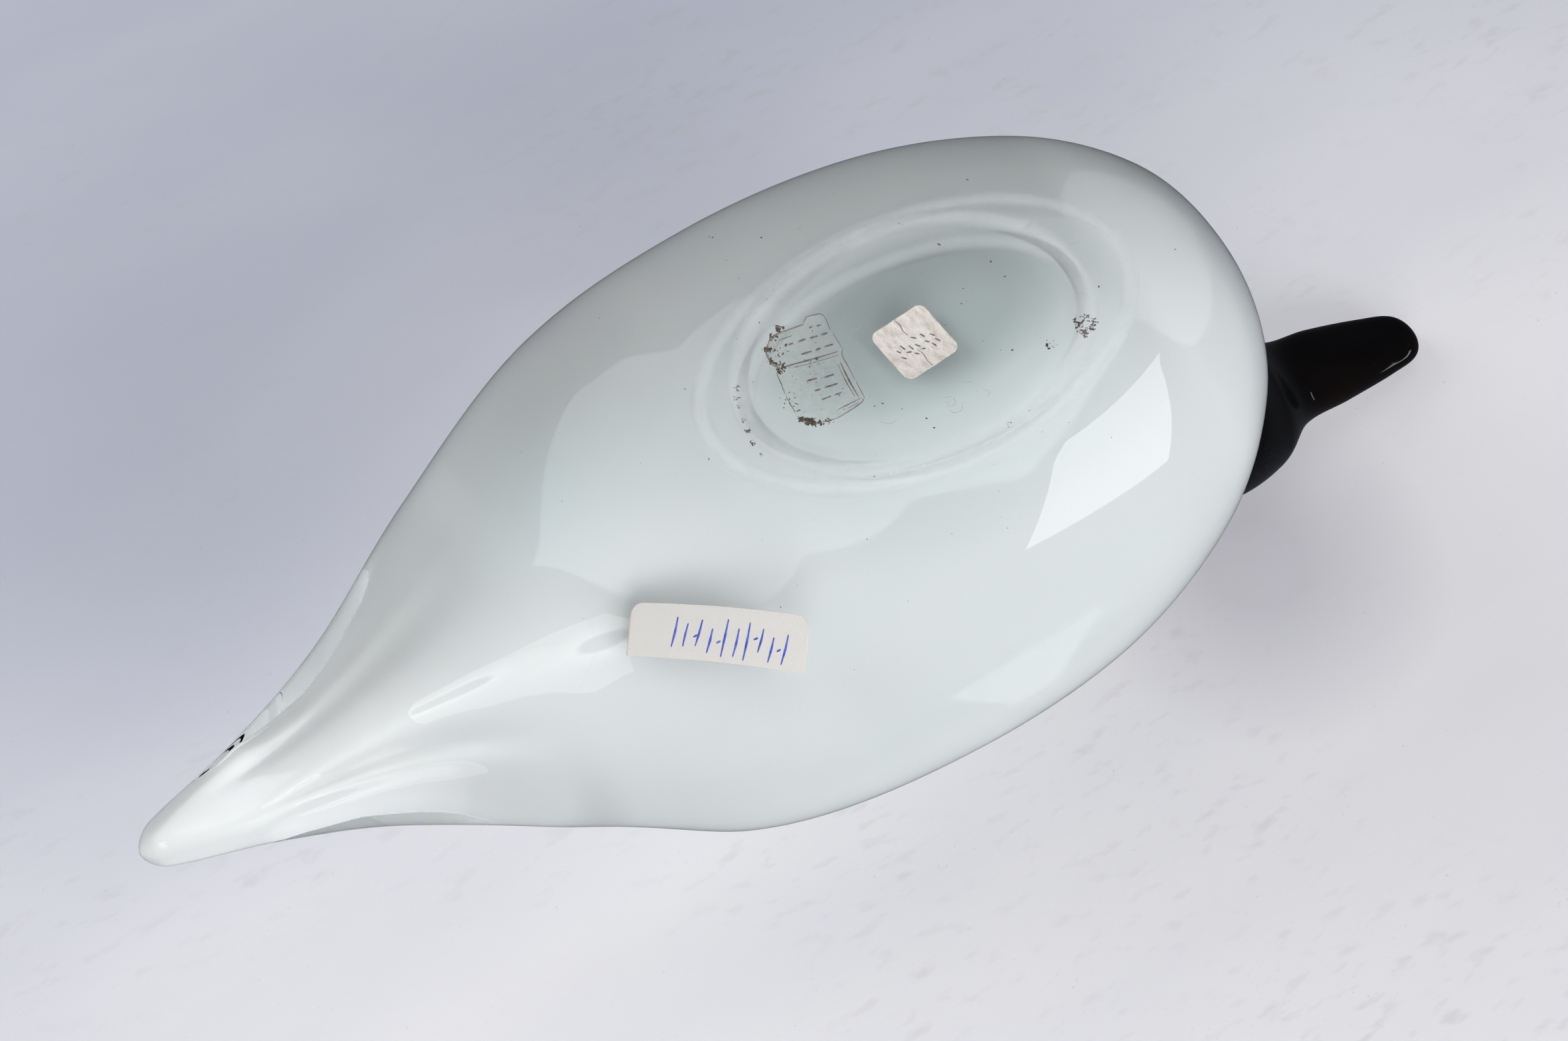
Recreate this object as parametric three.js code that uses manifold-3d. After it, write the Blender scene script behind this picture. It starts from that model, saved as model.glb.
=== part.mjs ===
import * as THREE from 'three';
import { mergeVertices } from 'three/addons/utils/BufferGeometryUtils.js';
import Module from 'manifold-3d';

// Glass duck standing on its oval foot: bill towards +X, its left side towards +Y, foot on z = 0.

// Sections of the body from tail to breast: x, half width, middle height, half height
const TAIL_TIP = [-173.7, 0, 58.1, 0];
const TAIL_END = [-171.3, 3.9, 57.9, 3.4];
const TAIL_POINT = [-166, 6.2, 57.5, 5.6];
const TAIL_SHAFT = [-145, 12.3, 55.8, 10.6];
const TAIL_ROOT = [-121, 22.4, 54, 17.8];
const SHOULDER = [-91, 41.8, 52.8, 28.4];
const RUMP = [-51.5, 61.6, 50.2, 41.8];
const BELLY = [-8.7, 67.4, 46.8, 49.6];
const WING = [32, 64.2, 44.4, 49.4];
const CHEST = [64.3, 52, 41.6, 42.2];
const BREAST = [84, 35.2, 40, 31.4];
const BREAST_END = [93.4, 17.5, 40.6, 17.2];
const BREAST_TIP = [98.3, 0, 42, 0];
const BODY_ROUNDNESS = 2.15;

// Belly's sag below its sections' lowest point and the tail's hollow above it: each rises over the
// first pair of x and ends over the second
const SAG = 5;
const SAG_SPAN = [-135, -75, -45, -5];
const TAIL_HOLLOW = 4;
const HOLLOW_SPAN = [-172, -147, -147, -112];

// Sections of the neck, head and bill along a spine: x, half width, spine height, half thickness
const NECK_ROOT = [46, 25, 60, 23];
const NECK = [65, 21.5, 80.5, 20];
const NAPE = [83, 18.2, 94.5, 16.8];
const CROWN = [100, 23.4, 105.8, 21.2];
const FACE = [116.5, 20.4, 112.2, 14.6];
const BILL_ROOT = [130, 12.4, 115.6, 8];
const BILL_MIDDLE = [144.5, 11.1, 118, 5.6];
const BILL_FLAT = [160.5, 8.9, 122, 4];
const BILL_END = [170.5, 6.3, 124.6, 3.2];
const BILL_TIP = [173.7, 0, 125.4, 0];
const HEAD_ROUNDNESS = 2.1;

// Oval foot with a hollow inside a flat resting band
const FOOT_X = 12;
const FOOT_LENGTH = 100;
const FOOT_WIDTH = 60;
const FOOT_HEIGHT = 9;
const FOOT_SPREAD = 1.28;
const HOLLOW_LENGTH = 80;
const HOLLOW_WIDTH = 53;
const HOLLOW_DEPTH = 6;
const HOLLOW_SUNK = 6;

// Furrows that the pull of the tail left: where round the section and how wide, in degrees, how
// deep as a share of it, and the two pairs of x over which each rises and ends
const FURROWS = [
  { at: 251, width: 12, depth: 0.1, span: [-160, -140, -112, -84] },
  { at: 318, width: 11, depth: 0.13, span: [-160, -140, -112, -84] },
  { at: 31, width: 24, depth: 0.075, span: [-122, -98, -86, -58] },
];

// Thin labels: a long paper tag on the rump, a square one and a small worn one in the hollow
const LABEL_THICKNESS = 0.3;
const GAP = 0.35;
const PAPER_TAG = { length: 36.4, width: 9.8, x: -54.7, y: 33.9, turn: 36 };
const SQUARE_TAG = { length: 14, width: 14, x: 13.4, y: -2.3, turn: 83 };
const WORN_LABEL = { length: 23, width: 15, x: -9.2, y: -4.6, turn: 97 };

// Mesh fineness
const STEPS_PER_SPAN = 5;
const BODY_SIDES = 44;
const HEAD_SIDES = 28;
const LABEL_CELLS = 6;

const wasm = await Module();
wasm.setup();

const rad = THREE.MathUtils.degToRad;
const mix = (a, b, t) => a + (b - a) * t;

// Cardinal spline through the rows, whose first and last row only steer the ends
function splineRows(rows, steps) {
  const out = [];
  for (let i = 1; i < rows.length - 2; i += 1) {
    const [a, b, c, d] = rows.slice(i - 1, i + 3);
    for (let k = 0; k < steps; k += 1) {
      const t = k / steps;
      out.push(b.map((_, j) => 0.5 * (2 * b[j] + (c[j] - a[j]) * t
        + (2 * a[j] - 5 * b[j] + 4 * c[j] - d[j]) * t * t
        + (3 * b[j] - a[j] - 3 * c[j] + d[j]) * t * t * t)));
    }
  }
  out.push(rows[rows.length - 2]);
  return out;
}

// Row mirrored past a rounded end, so that the spline closes square to its axis
const pastEnd = (tip, row) => [row[0], -row[1], row[2], -row[3]];

const bodyStations = [TAIL_TIP, TAIL_END, TAIL_POINT, TAIL_SHAFT, TAIL_ROOT, SHOULDER, RUMP,
  BELLY, WING, CHEST, BREAST, BREAST_END, BREAST_TIP];
const bodyRows = splineRows([
  pastEnd(TAIL_TIP, TAIL_END),
  ...bodyStations,
  pastEnd(BREAST_TIP, BREAST_END),
], STEPS_PER_SPAN);

const headStations = [NECK_ROOT, NECK, NAPE, CROWN, FACE, BILL_ROOT, BILL_MIDDLE, BILL_FLAT,
  BILL_END, BILL_TIP];
const headRows = splineRows([
  NECK_ROOT.map((v, j) => 2 * v - NECK[j]),
  ...headStations,
  pastEnd(BILL_TIP, BILL_END),
], STEPS_PER_SPAN);

// Rounded section: unit circle pushed out towards its corners
function roundedPoint(angle, roundness) {
  const push = (v) => Math.sign(v) * Math.abs(v) ** (2 / roundness);
  return [push(Math.cos(angle)), push(Math.sin(angle))];
}

// Share at x of something that rises over the first pair and ends over the second
function shareAt(x, [start, full, fade, stop]) {
  const rise = THREE.MathUtils.smoothstep(x, start, full);
  const fall = THREE.MathUtils.smoothstep(x, fade, stop);
  return rise * (1 - fall);
}

const sagAt = (x) => SAG * shareAt(x, SAG_SPAN) - TAIL_HOLLOW * shareAt(x, HOLLOW_SPAN);

// Factor that draws the section in along the furrows, each a bell round it
function furrowFactor(x, angle) {
  return FURROWS.reduce((factor, { at, width, depth, span }) => {
    const off = THREE.MathUtils.euclideanModulo(THREE.MathUtils.radToDeg(angle) - at + 180, 360) - 180;
    return factor - depth * shareAt(x, span) * Math.exp(-((off / width) ** 2));
  }, 1);
}

// Point of the body's skin at one section row and angle, moved out by a margin
function bodyPoint(row, angle, margin) {
  const [x, halfWidth, z, halfHeight] = row;
  const [c, s] = roundedPoint(angle, BODY_ROUNDNESS);
  const k = furrowFactor(x, angle);
  const drop = sagAt(x) * Math.max(-s, 0) ** 2;
  return [x, (halfWidth + margin) * c * k, z + (halfHeight + margin) * s * k - drop];
}

// Closed skin over rings of points, capped by a single point at each end
function skin(rings, firstPoint, lastPoint) {
  const sides = rings[0].length;
  const positions = [firstPoint, ...rings.flat(), lastPoint].flat();
  const last = rings.length * sides + 1;
  const index = [];
  for (let j = 0; j < sides; j += 1) {
    const n = (j + 1) % sides;
    index.push(0, 1 + n, 1 + j);
    index.push(last, last - sides + j, last - sides + n);
  }
  for (let i = 0; i < rings.length - 1; i += 1) {
    for (let j = 0; j < sides; j += 1) {
      const n = (j + 1) % sides;
      const a = 1 + i * sides + j;
      const b = 1 + i * sides + n;
      index.push(a, b, b + sides, a, b + sides, a + sides);
    }
  }
  const geometry = new THREE.BufferGeometry();
  geometry.setAttribute('position', new THREE.Float32BufferAttribute(positions, 3));
  geometry.setIndex(index);
  return geometry;
}

// Geometry to solid and back
function toSolid(geometry) {
  const bare = geometry.clone();
  for (const name of Object.keys(bare.attributes)) {
    if (name !== 'position') bare.deleteAttribute(name);
  }
  const merged = mergeVertices(bare, 1e-5);
  const mesh = new wasm.Mesh({
    numProp: 3,
    vertProperties: new Float32Array(merged.attributes.position.array),
    triVerts: new Uint32Array(merged.index.array),
  });
  return new wasm.Manifold(mesh);
}

function toGeometry(solid) {
  const mesh = solid.getMesh();
  const geometry = new THREE.BufferGeometry();
  geometry.setAttribute('position', new THREE.BufferAttribute(mesh.vertProperties, mesh.numProp));
  geometry.setIndex(new THREE.BufferAttribute(mesh.triVerts, 1));
  geometry.computeVertexNormals();
  return geometry;
}

function sidesOf(count) {
  return Array.from({ length: count }, (_, j) => (2 * Math.PI * j) / count);
}

// Body's loft with the given margin
function bodyLoft(margin) {
  const rows = bodyRows.slice(1, -1);
  const rings = rows.map((row) => sidesOf(BODY_SIDES).map((a) => bodyPoint(row, a, margin)));
  const tail = [TAIL_TIP[0] - margin, 0, TAIL_TIP[2]];
  const breast = [BREAST_TIP[0] + margin, 0, BREAST_TIP[2]];
  return skin(rings, tail, breast);
}

// Oval cone of the foot, wider towards the body
function footCone() {
  const foot = new THREE.CylinderGeometry(FOOT_SPREAD, 1, FOOT_HEIGHT, BODY_SIDES);
  foot.rotateX(Math.PI / 2);
  foot.scale(FOOT_LENGTH / 2, FOOT_WIDTH / 2, 1);
  foot.translate(FOOT_X, 0, FOOT_HEIGHT / 2);
  return foot;
}

// Half axes and middle of the ellipsoid that hollows the foot
const hollowHeight = HOLLOW_DEPTH + HOLLOW_SUNK;
const hollowSpread = 1 / Math.sqrt(1 - (HOLLOW_SUNK / hollowHeight) ** 2);
const hollow = {
  a: (HOLLOW_LENGTH / 2) * hollowSpread,
  b: (HOLLOW_WIDTH / 2) * hollowSpread,
  c: hollowHeight,
  z: -HOLLOW_SUNK,
};

function hollowForm() {
  const form = new THREE.SphereGeometry(1, BODY_SIDES, BODY_SIDES / 2);
  form.rotateX(Math.PI / 2);
  form.scale(hollow.a, hollow.b, hollow.c);
  form.translate(FOOT_X, 0, hollow.z);
  return form;
}

function belowFloor() {
  const block = new THREE.BoxGeometry(400, 300, 100);
  block.translate(0, 0, -50);
  return block;
}

function bodyGeometry() {
  const solid = toSolid(bodyLoft(0))
    .add(toSolid(footCone()))
    .subtract(toSolid(belowFloor()))
    .subtract(toSolid(hollowForm()));
  return toGeometry(solid);
}

// Neck, head and bill in one pull of glass, cut to the body's skin
function headGeometry() {
  const rows = headRows.slice(0, -1);
  const rings = rows.map((row, i) => {
    const before = headRows[Math.max(i - 1, 0)];
    const after = headRows[i + 1];
    const along = new THREE.Vector2(after[0] - before[0], after[2] - before[2]).normalize();
    return sidesOf(HEAD_SIDES).map((angle) => {
      const [c, s] = roundedPoint(angle, HEAD_ROUNDNESS);
      return [row[0] - along.y * row[3] * s, row[1] * c, row[2] + along.x * row[3] * s];
    });
  });
  const loft = skin(rings, [NECK_ROOT[0], 0, NECK_ROOT[2]], [BILL_TIP[0], 0, BILL_TIP[2]]);
  return toGeometry(toSolid(loft).subtract(toSolid(bodyLoft(GAP))));
}

// Body's section at x, between the spline's rows
function sectionAt(x) {
  const i = bodyRows.findIndex((row, k) => k > 0 && row[0] >= x);
  const [low, high] = [bodyRows[i - 1], bodyRows[i]];
  const t = (x - low[0]) / (high[0] - low[0]);
  return low.map((v, j) => mix(v, high[j], t));
}

// Height of the body's underside
function bellyHeight(x, y) {
  const [, halfWidth, z, halfHeight] = sectionAt(x);
  const n = BODY_ROUNDNESS;
  const down = (1 - Math.abs(y / halfWidth) ** n) ** (1 / n);
  return z - halfHeight * down - sagAt(x) * down ** 2;
}

// Height of the hollow's roof
function roofHeight(x, y) {
  const e = ((x - FOOT_X) / hollow.a) ** 2 + (y / hollow.b) ** 2;
  return hollow.z + hollow.c * Math.sqrt(1 - e);
}

function surfacePoint(height, x, y) {
  return new THREE.Vector3(x, y, height(x, y));
}

// Downward normal of a surface given by its height
function surfaceNormal(height, x, y) {
  const step = 0.5;
  const dx = (height(x + step, y) - height(x - step, y)) / (2 * step);
  const dy = (height(x, y + step) - height(x, y - step)) / (2 * step);
  return new THREE.Vector3(dx, dy, -1).normalize();
}

// Label draped on a surface, one face at the gap and the other a thickness further down
function labelGeometry(height, label) {
  const centre = surfacePoint(height, label.x, label.y);
  const normal = surfaceNormal(height, label.x, label.y);
  const along = new THREE.Vector3(Math.cos(rad(label.turn)), Math.sin(rad(label.turn)), 0);
  along.addScaledVector(normal, -along.dot(normal)).normalize();
  const across = new THREE.Vector3().crossVectors(normal, along);
  const cells = LABEL_CELLS;
  const face = (lift) => {
    const points = [];
    for (let i = 0; i <= cells; i += 1) {
      for (let j = 0; j <= cells; j += 1) {
        const u = (i / cells - 0.5) * label.length;
        const v = (j / cells - 0.5) * label.width;
        const flat = centre.clone().addScaledVector(along, u).addScaledVector(across, v);
        const point = surfacePoint(height, flat.x, flat.y);
        point.addScaledVector(surfaceNormal(height, flat.x, flat.y), lift);
        points.push(point.toArray());
      }
    }
    return points;
  };
  const upper = face(GAP);
  const lower = face(GAP + LABEL_THICKNESS);
  const at = (i, j) => i * (cells + 1) + j;
  const under = upper.length;
  const index = [];
  const quad = (a, b, c, d) => index.push(a, b, c, a, c, d);
  for (let i = 0; i < cells; i += 1) {
    for (let j = 0; j < cells; j += 1) {
      const [a, b, c, d] = [at(i, j), at(i + 1, j), at(i + 1, j + 1), at(i, j + 1)];
      quad(a, d, c, b);
      quad(under + a, under + b, under + c, under + d);
    }
  }
  for (let k = 0; k < cells; k += 1) {
    const rim = [
      [at(k, 0), at(k + 1, 0)],
      [at(cells, k), at(cells, k + 1)],
      [at(k + 1, cells), at(k, cells)],
      [at(0, k + 1), at(0, k)],
    ];
    for (const [a, b] of rim) quad(a, b, under + b, under + a);
  }
  const geometry = new THREE.BufferGeometry();
  const positions = [...upper, ...lower].flat();
  geometry.setAttribute('position', new THREE.Float32BufferAttribute(positions, 3));
  geometry.setIndex(index);
  geometry.computeVertexNormals();
  return geometry;
}

const opalGlass = new THREE.MeshStandardMaterial({ color: 0xdde3e2, roughness: 0.06 });
const blackGlass = new THREE.MeshStandardMaterial({ color: 0x0a0b0d, roughness: 0.05 });
const paper = new THREE.MeshStandardMaterial({ color: 0xe6e2d8, roughness: 0.85 });
const oldPaper = new THREE.MeshStandardMaterial({ color: 0xd3cfc6, roughness: 0.85 });
const film = new THREE.MeshStandardMaterial({ color: 0xb9bdb9, roughness: 0.4 });

const duck = new THREE.Group();

function addPiece(name, geometry, material) {
  const mesh = new THREE.Mesh(geometry, material);
  mesh.name = name;
  duck.add(mesh);
}

addPiece('body', bodyGeometry(), opalGlass);
addPiece('head', headGeometry(), blackGlass);
addPiece('paper_tag', labelGeometry(bellyHeight, PAPER_TAG), paper);
addPiece('square_tag', labelGeometry(roofHeight, SQUARE_TAG), oldPaper);
addPiece('worn_label', labelGeometry(roofHeight, WORN_LABEL), film);

export default duck;
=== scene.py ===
import math
import bmesh
import bpy
import numpy as np
from mathutils import Matrix


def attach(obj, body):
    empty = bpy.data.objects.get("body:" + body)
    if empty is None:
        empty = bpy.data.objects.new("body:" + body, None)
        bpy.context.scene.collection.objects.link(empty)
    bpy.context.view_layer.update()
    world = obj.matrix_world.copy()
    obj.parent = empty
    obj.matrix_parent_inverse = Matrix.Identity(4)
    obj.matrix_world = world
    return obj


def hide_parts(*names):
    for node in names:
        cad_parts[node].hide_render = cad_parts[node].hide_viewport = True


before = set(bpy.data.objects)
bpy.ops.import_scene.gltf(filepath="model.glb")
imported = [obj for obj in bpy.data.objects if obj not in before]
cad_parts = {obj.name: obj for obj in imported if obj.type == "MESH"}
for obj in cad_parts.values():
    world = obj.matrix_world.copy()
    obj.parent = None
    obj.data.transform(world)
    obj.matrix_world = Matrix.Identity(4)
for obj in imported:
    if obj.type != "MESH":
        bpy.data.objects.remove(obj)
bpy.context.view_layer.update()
mm = 0.001
rng = np.random.default_rng(7)
print("frame loaded")


# Meshes from arrays

# Grid of rings: point (i, j) is ring i, side j; each ring closes on itself, and a tip point closes an end
def ringMesh(name, rings, firstTip=None, lastTip=None):
    count, sides = rings.shape[:2]
    verts = rings.reshape(-1, 3)
    j = np.arange(sides)
    n = (j + 1) % sides
    i = np.arange(count - 1)[:, None] * sides
    quads = np.stack([i + j, i + n, i + n + sides, i + j + sides], -1).reshape(-1, 4)
    faces = quads.tolist()
    if firstTip is not None:
        verts = np.vstack([verts, firstTip])
        k = len(verts) - 1
        faces += np.stack([np.full(sides, k), n, j], -1).tolist()
    if lastTip is not None:
        verts = np.vstack([verts, lastTip])
        k = len(verts) - 1
        base = (count - 1) * sides
        faces += np.stack([np.full(sides, k), base + j, base + n], -1).tolist()
    return meshObject(name, verts, faces)


# Sheet of points (i, j) with an inner and an outer face and a rim round its four sides, as points and faces
def sheetPart(inner, outer):
    rows, cols = outer.shape[:2]
    half = rows * cols
    verts = np.vstack([outer.reshape(-1, 3), inner.reshape(-1, 3)])
    i, j = np.meshgrid(np.arange(rows - 1), np.arange(cols - 1), indexing="ij")
    a = (i * cols + j).ravel()
    quads = np.stack([a, a + cols, a + cols + 1, a + 1], -1)
    edge = np.concatenate([
        np.arange(cols - 1),
        np.arange(rows - 1) * cols + cols - 1,
        (rows - 1) * cols + np.arange(cols - 1, 0, -1),
        np.arange(rows - 1, 0, -1) * cols,
    ])
    after = np.roll(edge, -1)
    rim = np.stack([edge, after, after + half, edge + half], -1)
    return verts, np.vstack([quads, quads[:, ::-1] + half, rim])


# Closed band of sections (i, j) that wraps both ways, as points and faces
def loopPart(rings):
    count, sides = rings.shape[:2]
    i, j = np.meshgrid(np.arange(count), np.arange(sides), indexing="ij")
    ni, nj = (i + 1) % count, (j + 1) % sides
    quads = np.stack([i * sides + j, i * sides + nj, ni * sides + nj, ni * sides + j], -1).reshape(-1, 4)
    return rings.reshape(-1, 3), quads


# Several parts as one mesh, each closed part turned outwards
def joinParts(name, parts):
    first = np.cumsum([0] + [len(v) for v, f in parts[:-1]])
    verts = np.vstack([v for v, f in parts])
    faces = [row for (v, f), k in zip(parts, first) for row in (f + k).tolist()]
    obj = meshObject(name, verts * mm, faces)
    shape = bmesh.new()
    shape.from_mesh(obj.data)
    bmesh.ops.recalc_face_normals(shape, faces=shape.faces)
    shape.to_mesh(obj.data)
    shape.free()
    return obj


def meshObject(name, verts, faces):
    mesh = bpy.data.meshes.new(name)
    mesh.from_pydata(verts.tolist(), [], faces)
    mesh.validate()
    mesh.polygons.foreach_set("use_smooth", np.ones(len(mesh.polygons), bool))
    mesh.update()
    obj = bpy.data.objects.new(name, mesh)
    bpy.context.scene.collection.objects.link(obj)
    return obj


# Piece of the object: it rides the only body and may stand for a CAD node, whose part it hides
def belongs(obj, node=None):
    if node:
        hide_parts(node)
    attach(obj, "root")
    return obj


# Rows at spline places t: each span is the cubic through its two rows that heads for their neighbours
def splineRows(rows, t):
    rows = np.asarray(rows, float)
    i = np.clip(np.floor(t).astype(int), 0, len(rows) - 4)
    f = (t - i)[:, None]
    a, b, c, d = rows[i], rows[i + 1], rows[i + 2], rows[i + 3]
    return 0.5 * (2 * b + (c - a) * f + (2 * a - 5 * b + 4 * c - d) * f**2 + (3 * b - a - 3 * c + d) * f**3)


# Soft maximum: the larger of two heights, rounded over a width k where they meet
def softMax(a, b, k):
    h = np.maximum(k - np.abs(a - b), 0) / k
    return np.maximum(a, b) + h * h * k / 4


def fullTurn(count):
    return np.linspace(0, 2 * math.pi, count, endpoint=False)


def smoothStep(x, low, high):
    f = np.clip((x - low) / (high - low), 0, 1)
    return f * f * (3 - 2 * f)


# Places between low and high, closer together where weight is large
def weightedPlaces(low, high, count, weight):
    fine = np.linspace(low, high, 4000)
    total = np.concatenate([[0], np.cumsum((weight(fine)[1:] + weight(fine)[:-1]) / 2)])
    return np.interp(np.linspace(0, total[-1], count), total, fine)


# Body

body = {
    # sections from tail to breast: x, half width, middle height, half height
    "rows": [
        (-173.7, 0, 58.1, 0),
        (-171.3, 3.9, 57.9, 3.4),
        (-166, 6.2, 57.5, 5.6),
        (-145, 12.3, 55.8, 10.6),
        (-121, 22.4, 54, 17.8),
        (-91, 41.8, 52.8, 28.4),
        (-51.5, 61.6, 50.2, 41.8),
        (-8.7, 67.4, 46.8, 49.6),
        (32, 64.2, 44.4, 49.4),
        (64.3, 52, 41.6, 42.2),
        (84, 35.2, 40, 31.4),
        (93.4, 17.5, 40.6, 17.2),
        (98.3, 0, 42, 0),
    ],
    "roundness": 2.15,
    # furrows that draw the section in: where round it, how wide, in degrees, how deep, and where along x
    "furrows": [
        (251, 12, 0.10, (-160, -140, -112, -84)),
        (318, 11, 0.13, (-160, -140, -112, -84)),
        (31, 24, 0.075, (-122, -98, -86, -58)),
    ],
    "sag": 5,
    "sagX": (-135, -75, -45, -5),
    "tailHollow": 4,
    "tailHollowX": (-172, -147, -147, -112),
    "rings": 360,
    "sides": 264,
    # more rings over the foot, by a share and over x; more sides round the lowest point, and how far round
    "finer": 1.2,
    "finerX": (-70, -40, 66, 90),
    "finerBelow": 1.6,
    "finerReach": 0.62,
}
foot = {
    "x": 12,
    "length": 100,
    "width": 60,
    "height": 9,
    "spread": 1.28,
    "hollowLength": 80,
    "hollowWidth": 53,
    "hollowDepth": 6,
    "hollowSunk": 6,
    "waist": 2.2,
    "outerEdge": 2.4,
    "innerEdge": 1.6,
    # beyond so many times its own oval it flares out into the body
    "flareFrom": 1.2,
    "flare": 90,
    # faint step in the hollow: how high, and where it lies and how wide it is as shares of the hollow
    "terrace": 0.45,
    "terraceAt": 0.62,
    "terraceWidth": 0.09,
    "clearOfFloor": 0.06,
    "farBelow": -30,
    # part of the body that the foot is blended into: up to this height, and this far to both sides along x
    "blendBelow": 42,
    "blendReach": 78,
}
core = {
    "inset": 3.2,
    "tailInset": 1.3,
    "insetX": (-150, -90),
    # in the tail the opal is half round: full below, flattened above, and turned by so many degrees
    "turn": 24,
    "flat": 0.75,
    "flatX": (-160, -148, -108, -88),
    # clear glass that shows beside it, over x: it is narrower by what the casing magnifies
    "clearX": (-154, -148, -141, -128, -120, -115, -111, -107, -103, -88, -60),
    "clearLow": (-9, -3, -0.8, 1.2, 1.3, 1.3, 0.8, 0, -2, -9, -40),
    "clearHigh": (-9, -4, -1.6, 0.4, 0.3, 0, -0.6, -1.2, -2.5, -9, -40),
    "magnified": 1.47,
    # lifted over the foot, over x and by how far round the section a point lies below the middle
    "lift": 11,
    "liftX": (-75, -30, 60, 92),
    "liftBelow": (0, 0.7),
    "lowBlend": 3.0,
    "breastInset": 2.6,
    "breastX": (40, 98),
    # spline places by which it stops short of the body's ends
    "short": (0.35, 0.12),
    "rings": 240,
    "sides": 180,
}


def mirroredEnds(rows):
    rows = [list(map(float, r)) for r in rows]
    start, end = rows[1], rows[-2]
    return [[start[0], -start[1], start[2], -start[3]], *rows, [end[0], -end[1], end[2], -end[3]]]


# Point on the middle plane that closes an end: the row's x and height
def tipOf(row):
    return row[:3] * [mm, 0, mm]


bodyRows = np.array(mirroredEnds(body["rows"]))
bodySpans = len(body["rows"]) - 1


# Unit circle pushed out towards its corners: each coordinate is raised to 2 / roundness
def roundedCircle(angle, roundness):
    c, s = np.cos(angle), np.sin(angle)
    return np.sign(c) * np.abs(c) ** (2 / roundness), np.sign(s) * np.abs(s) ** (2 / roundness)


# Bell round the section: one at an angle, in degrees, and falling off over a width
def bell(angle, at, width):
    off = (np.degrees(angle) - at + 180) % 360 - 180
    return np.exp(-((off / width) ** 2))


# One between x1 and x2, nought outside x0 and x3
def shareAt(x, x0, x1, x2, x3):
    return smoothStep(x, x0, x1) * (1 - smoothStep(x, x2, x3))


# How far the belly hangs below its section's lowest point, less how far the tail is hollowed from below
def sagAt(x):
    return body["sag"] * shareAt(x, *body["sagX"]) - body["tailHollow"] * shareAt(x, *body["tailHollowX"])


# Section at spline place t: x, and y and z from the rounded circle, drawn in by the furrows and sagging below
def bodySkin(t, angle, inset=0.0):
    rows = splineRows(bodyRows, t)
    x, w, mid, h = [rows[:, k][:, None] for k in range(4)]
    c, s = roundedCircle(angle, body["roundness"])
    k = 1
    for at, width, depth, span in body["furrows"]:
        k = k - depth * shareAt(x, *span) * bell(angle, at, width)
    y = np.maximum(w - inset, 0.05) * c * k
    z = mid + np.maximum(h - inset, 0.05) * s * k - sagAt(x) * np.maximum(-s, 0) ** 2
    return np.stack([x + 0 * y, y, z], -1)


# Foot seen from below: an oval cone that widens upwards, cut flat at the floor and hollowed by an ellipsoid
def underside(x, y, bodyZ):
    ex, ey = (x - foot["x"]) / (foot["length"] / 2), y / (foot["width"] / 2)
    e = np.sqrt(ex**2 + ey**2)
    cone = (e - 1) * foot["height"] / (foot["spread"] - 1)
    cone = cone + foot["flare"] * np.maximum(e - foot["flareFrom"], 0) ** 2
    standing = softMax(-softMax(-bodyZ, -cone, foot["waist"]), 0 * x, foot["outerEdge"])
    return np.maximum(softMax(standing, hollowRoof(x, y), foot["innerEdge"]), foot["clearOfFloor"])


# Ellipsoid sunk below the floor, with a faint step round it; far below the floor outside its rim
def hollowRoof(x, y):
    high = foot["hollowDepth"] + foot["hollowSunk"]
    grow = 1 / math.sqrt(1 - (foot["hollowSunk"] / high) ** 2)
    hx = (x - foot["x"]) / (foot["hollowLength"] / 2 * grow)
    hy = y / (foot["hollowWidth"] / 2 * grow)
    q = np.sqrt(hx**2 + hy**2)
    roof = -foot["hollowSunk"] + high * np.sqrt(np.clip(1 - q**2, 0, 1))
    roof = roof - foot["terrace"] * np.exp(-(((q - foot["terraceAt"]) / foot["terraceWidth"]) ** 2))
    return np.where(q < 1, roof, foot["farBelow"])


def makeBody():
    def along(t):
        rows = splineRows(bodyRows, t)
        d = np.linalg.norm(np.gradient(rows[:, :2], axis=0), axis=1)
        return d * (1 + body["finer"] * shareAt(rows[:, 0], *body["finerX"]))

    def around(a):
        return 1 + body["finerBelow"] * np.exp(-(((a - 1.5 * math.pi) / body["finerReach"]) ** 2))

    t = weightedPlaces(0, bodySpans, body["rings"] + 2, along)[1:-1]
    angle = weightedPlaces(0, 2 * math.pi, body["sides"] + 1, around)[:-1]
    p = bodySkin(t, angle)
    x, y, z = p[..., 0], p[..., 1], p[..., 2]
    low = (z < foot["blendBelow"]) & (np.abs(x - foot["x"]) < foot["blendReach"])
    p[..., 2] = np.where(low, underside(x, y, z), z)
    return ringMesh("glass_body", p * mm, tipOf(bodyRows[1]), tipOf(bodyRows[-2]))


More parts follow.
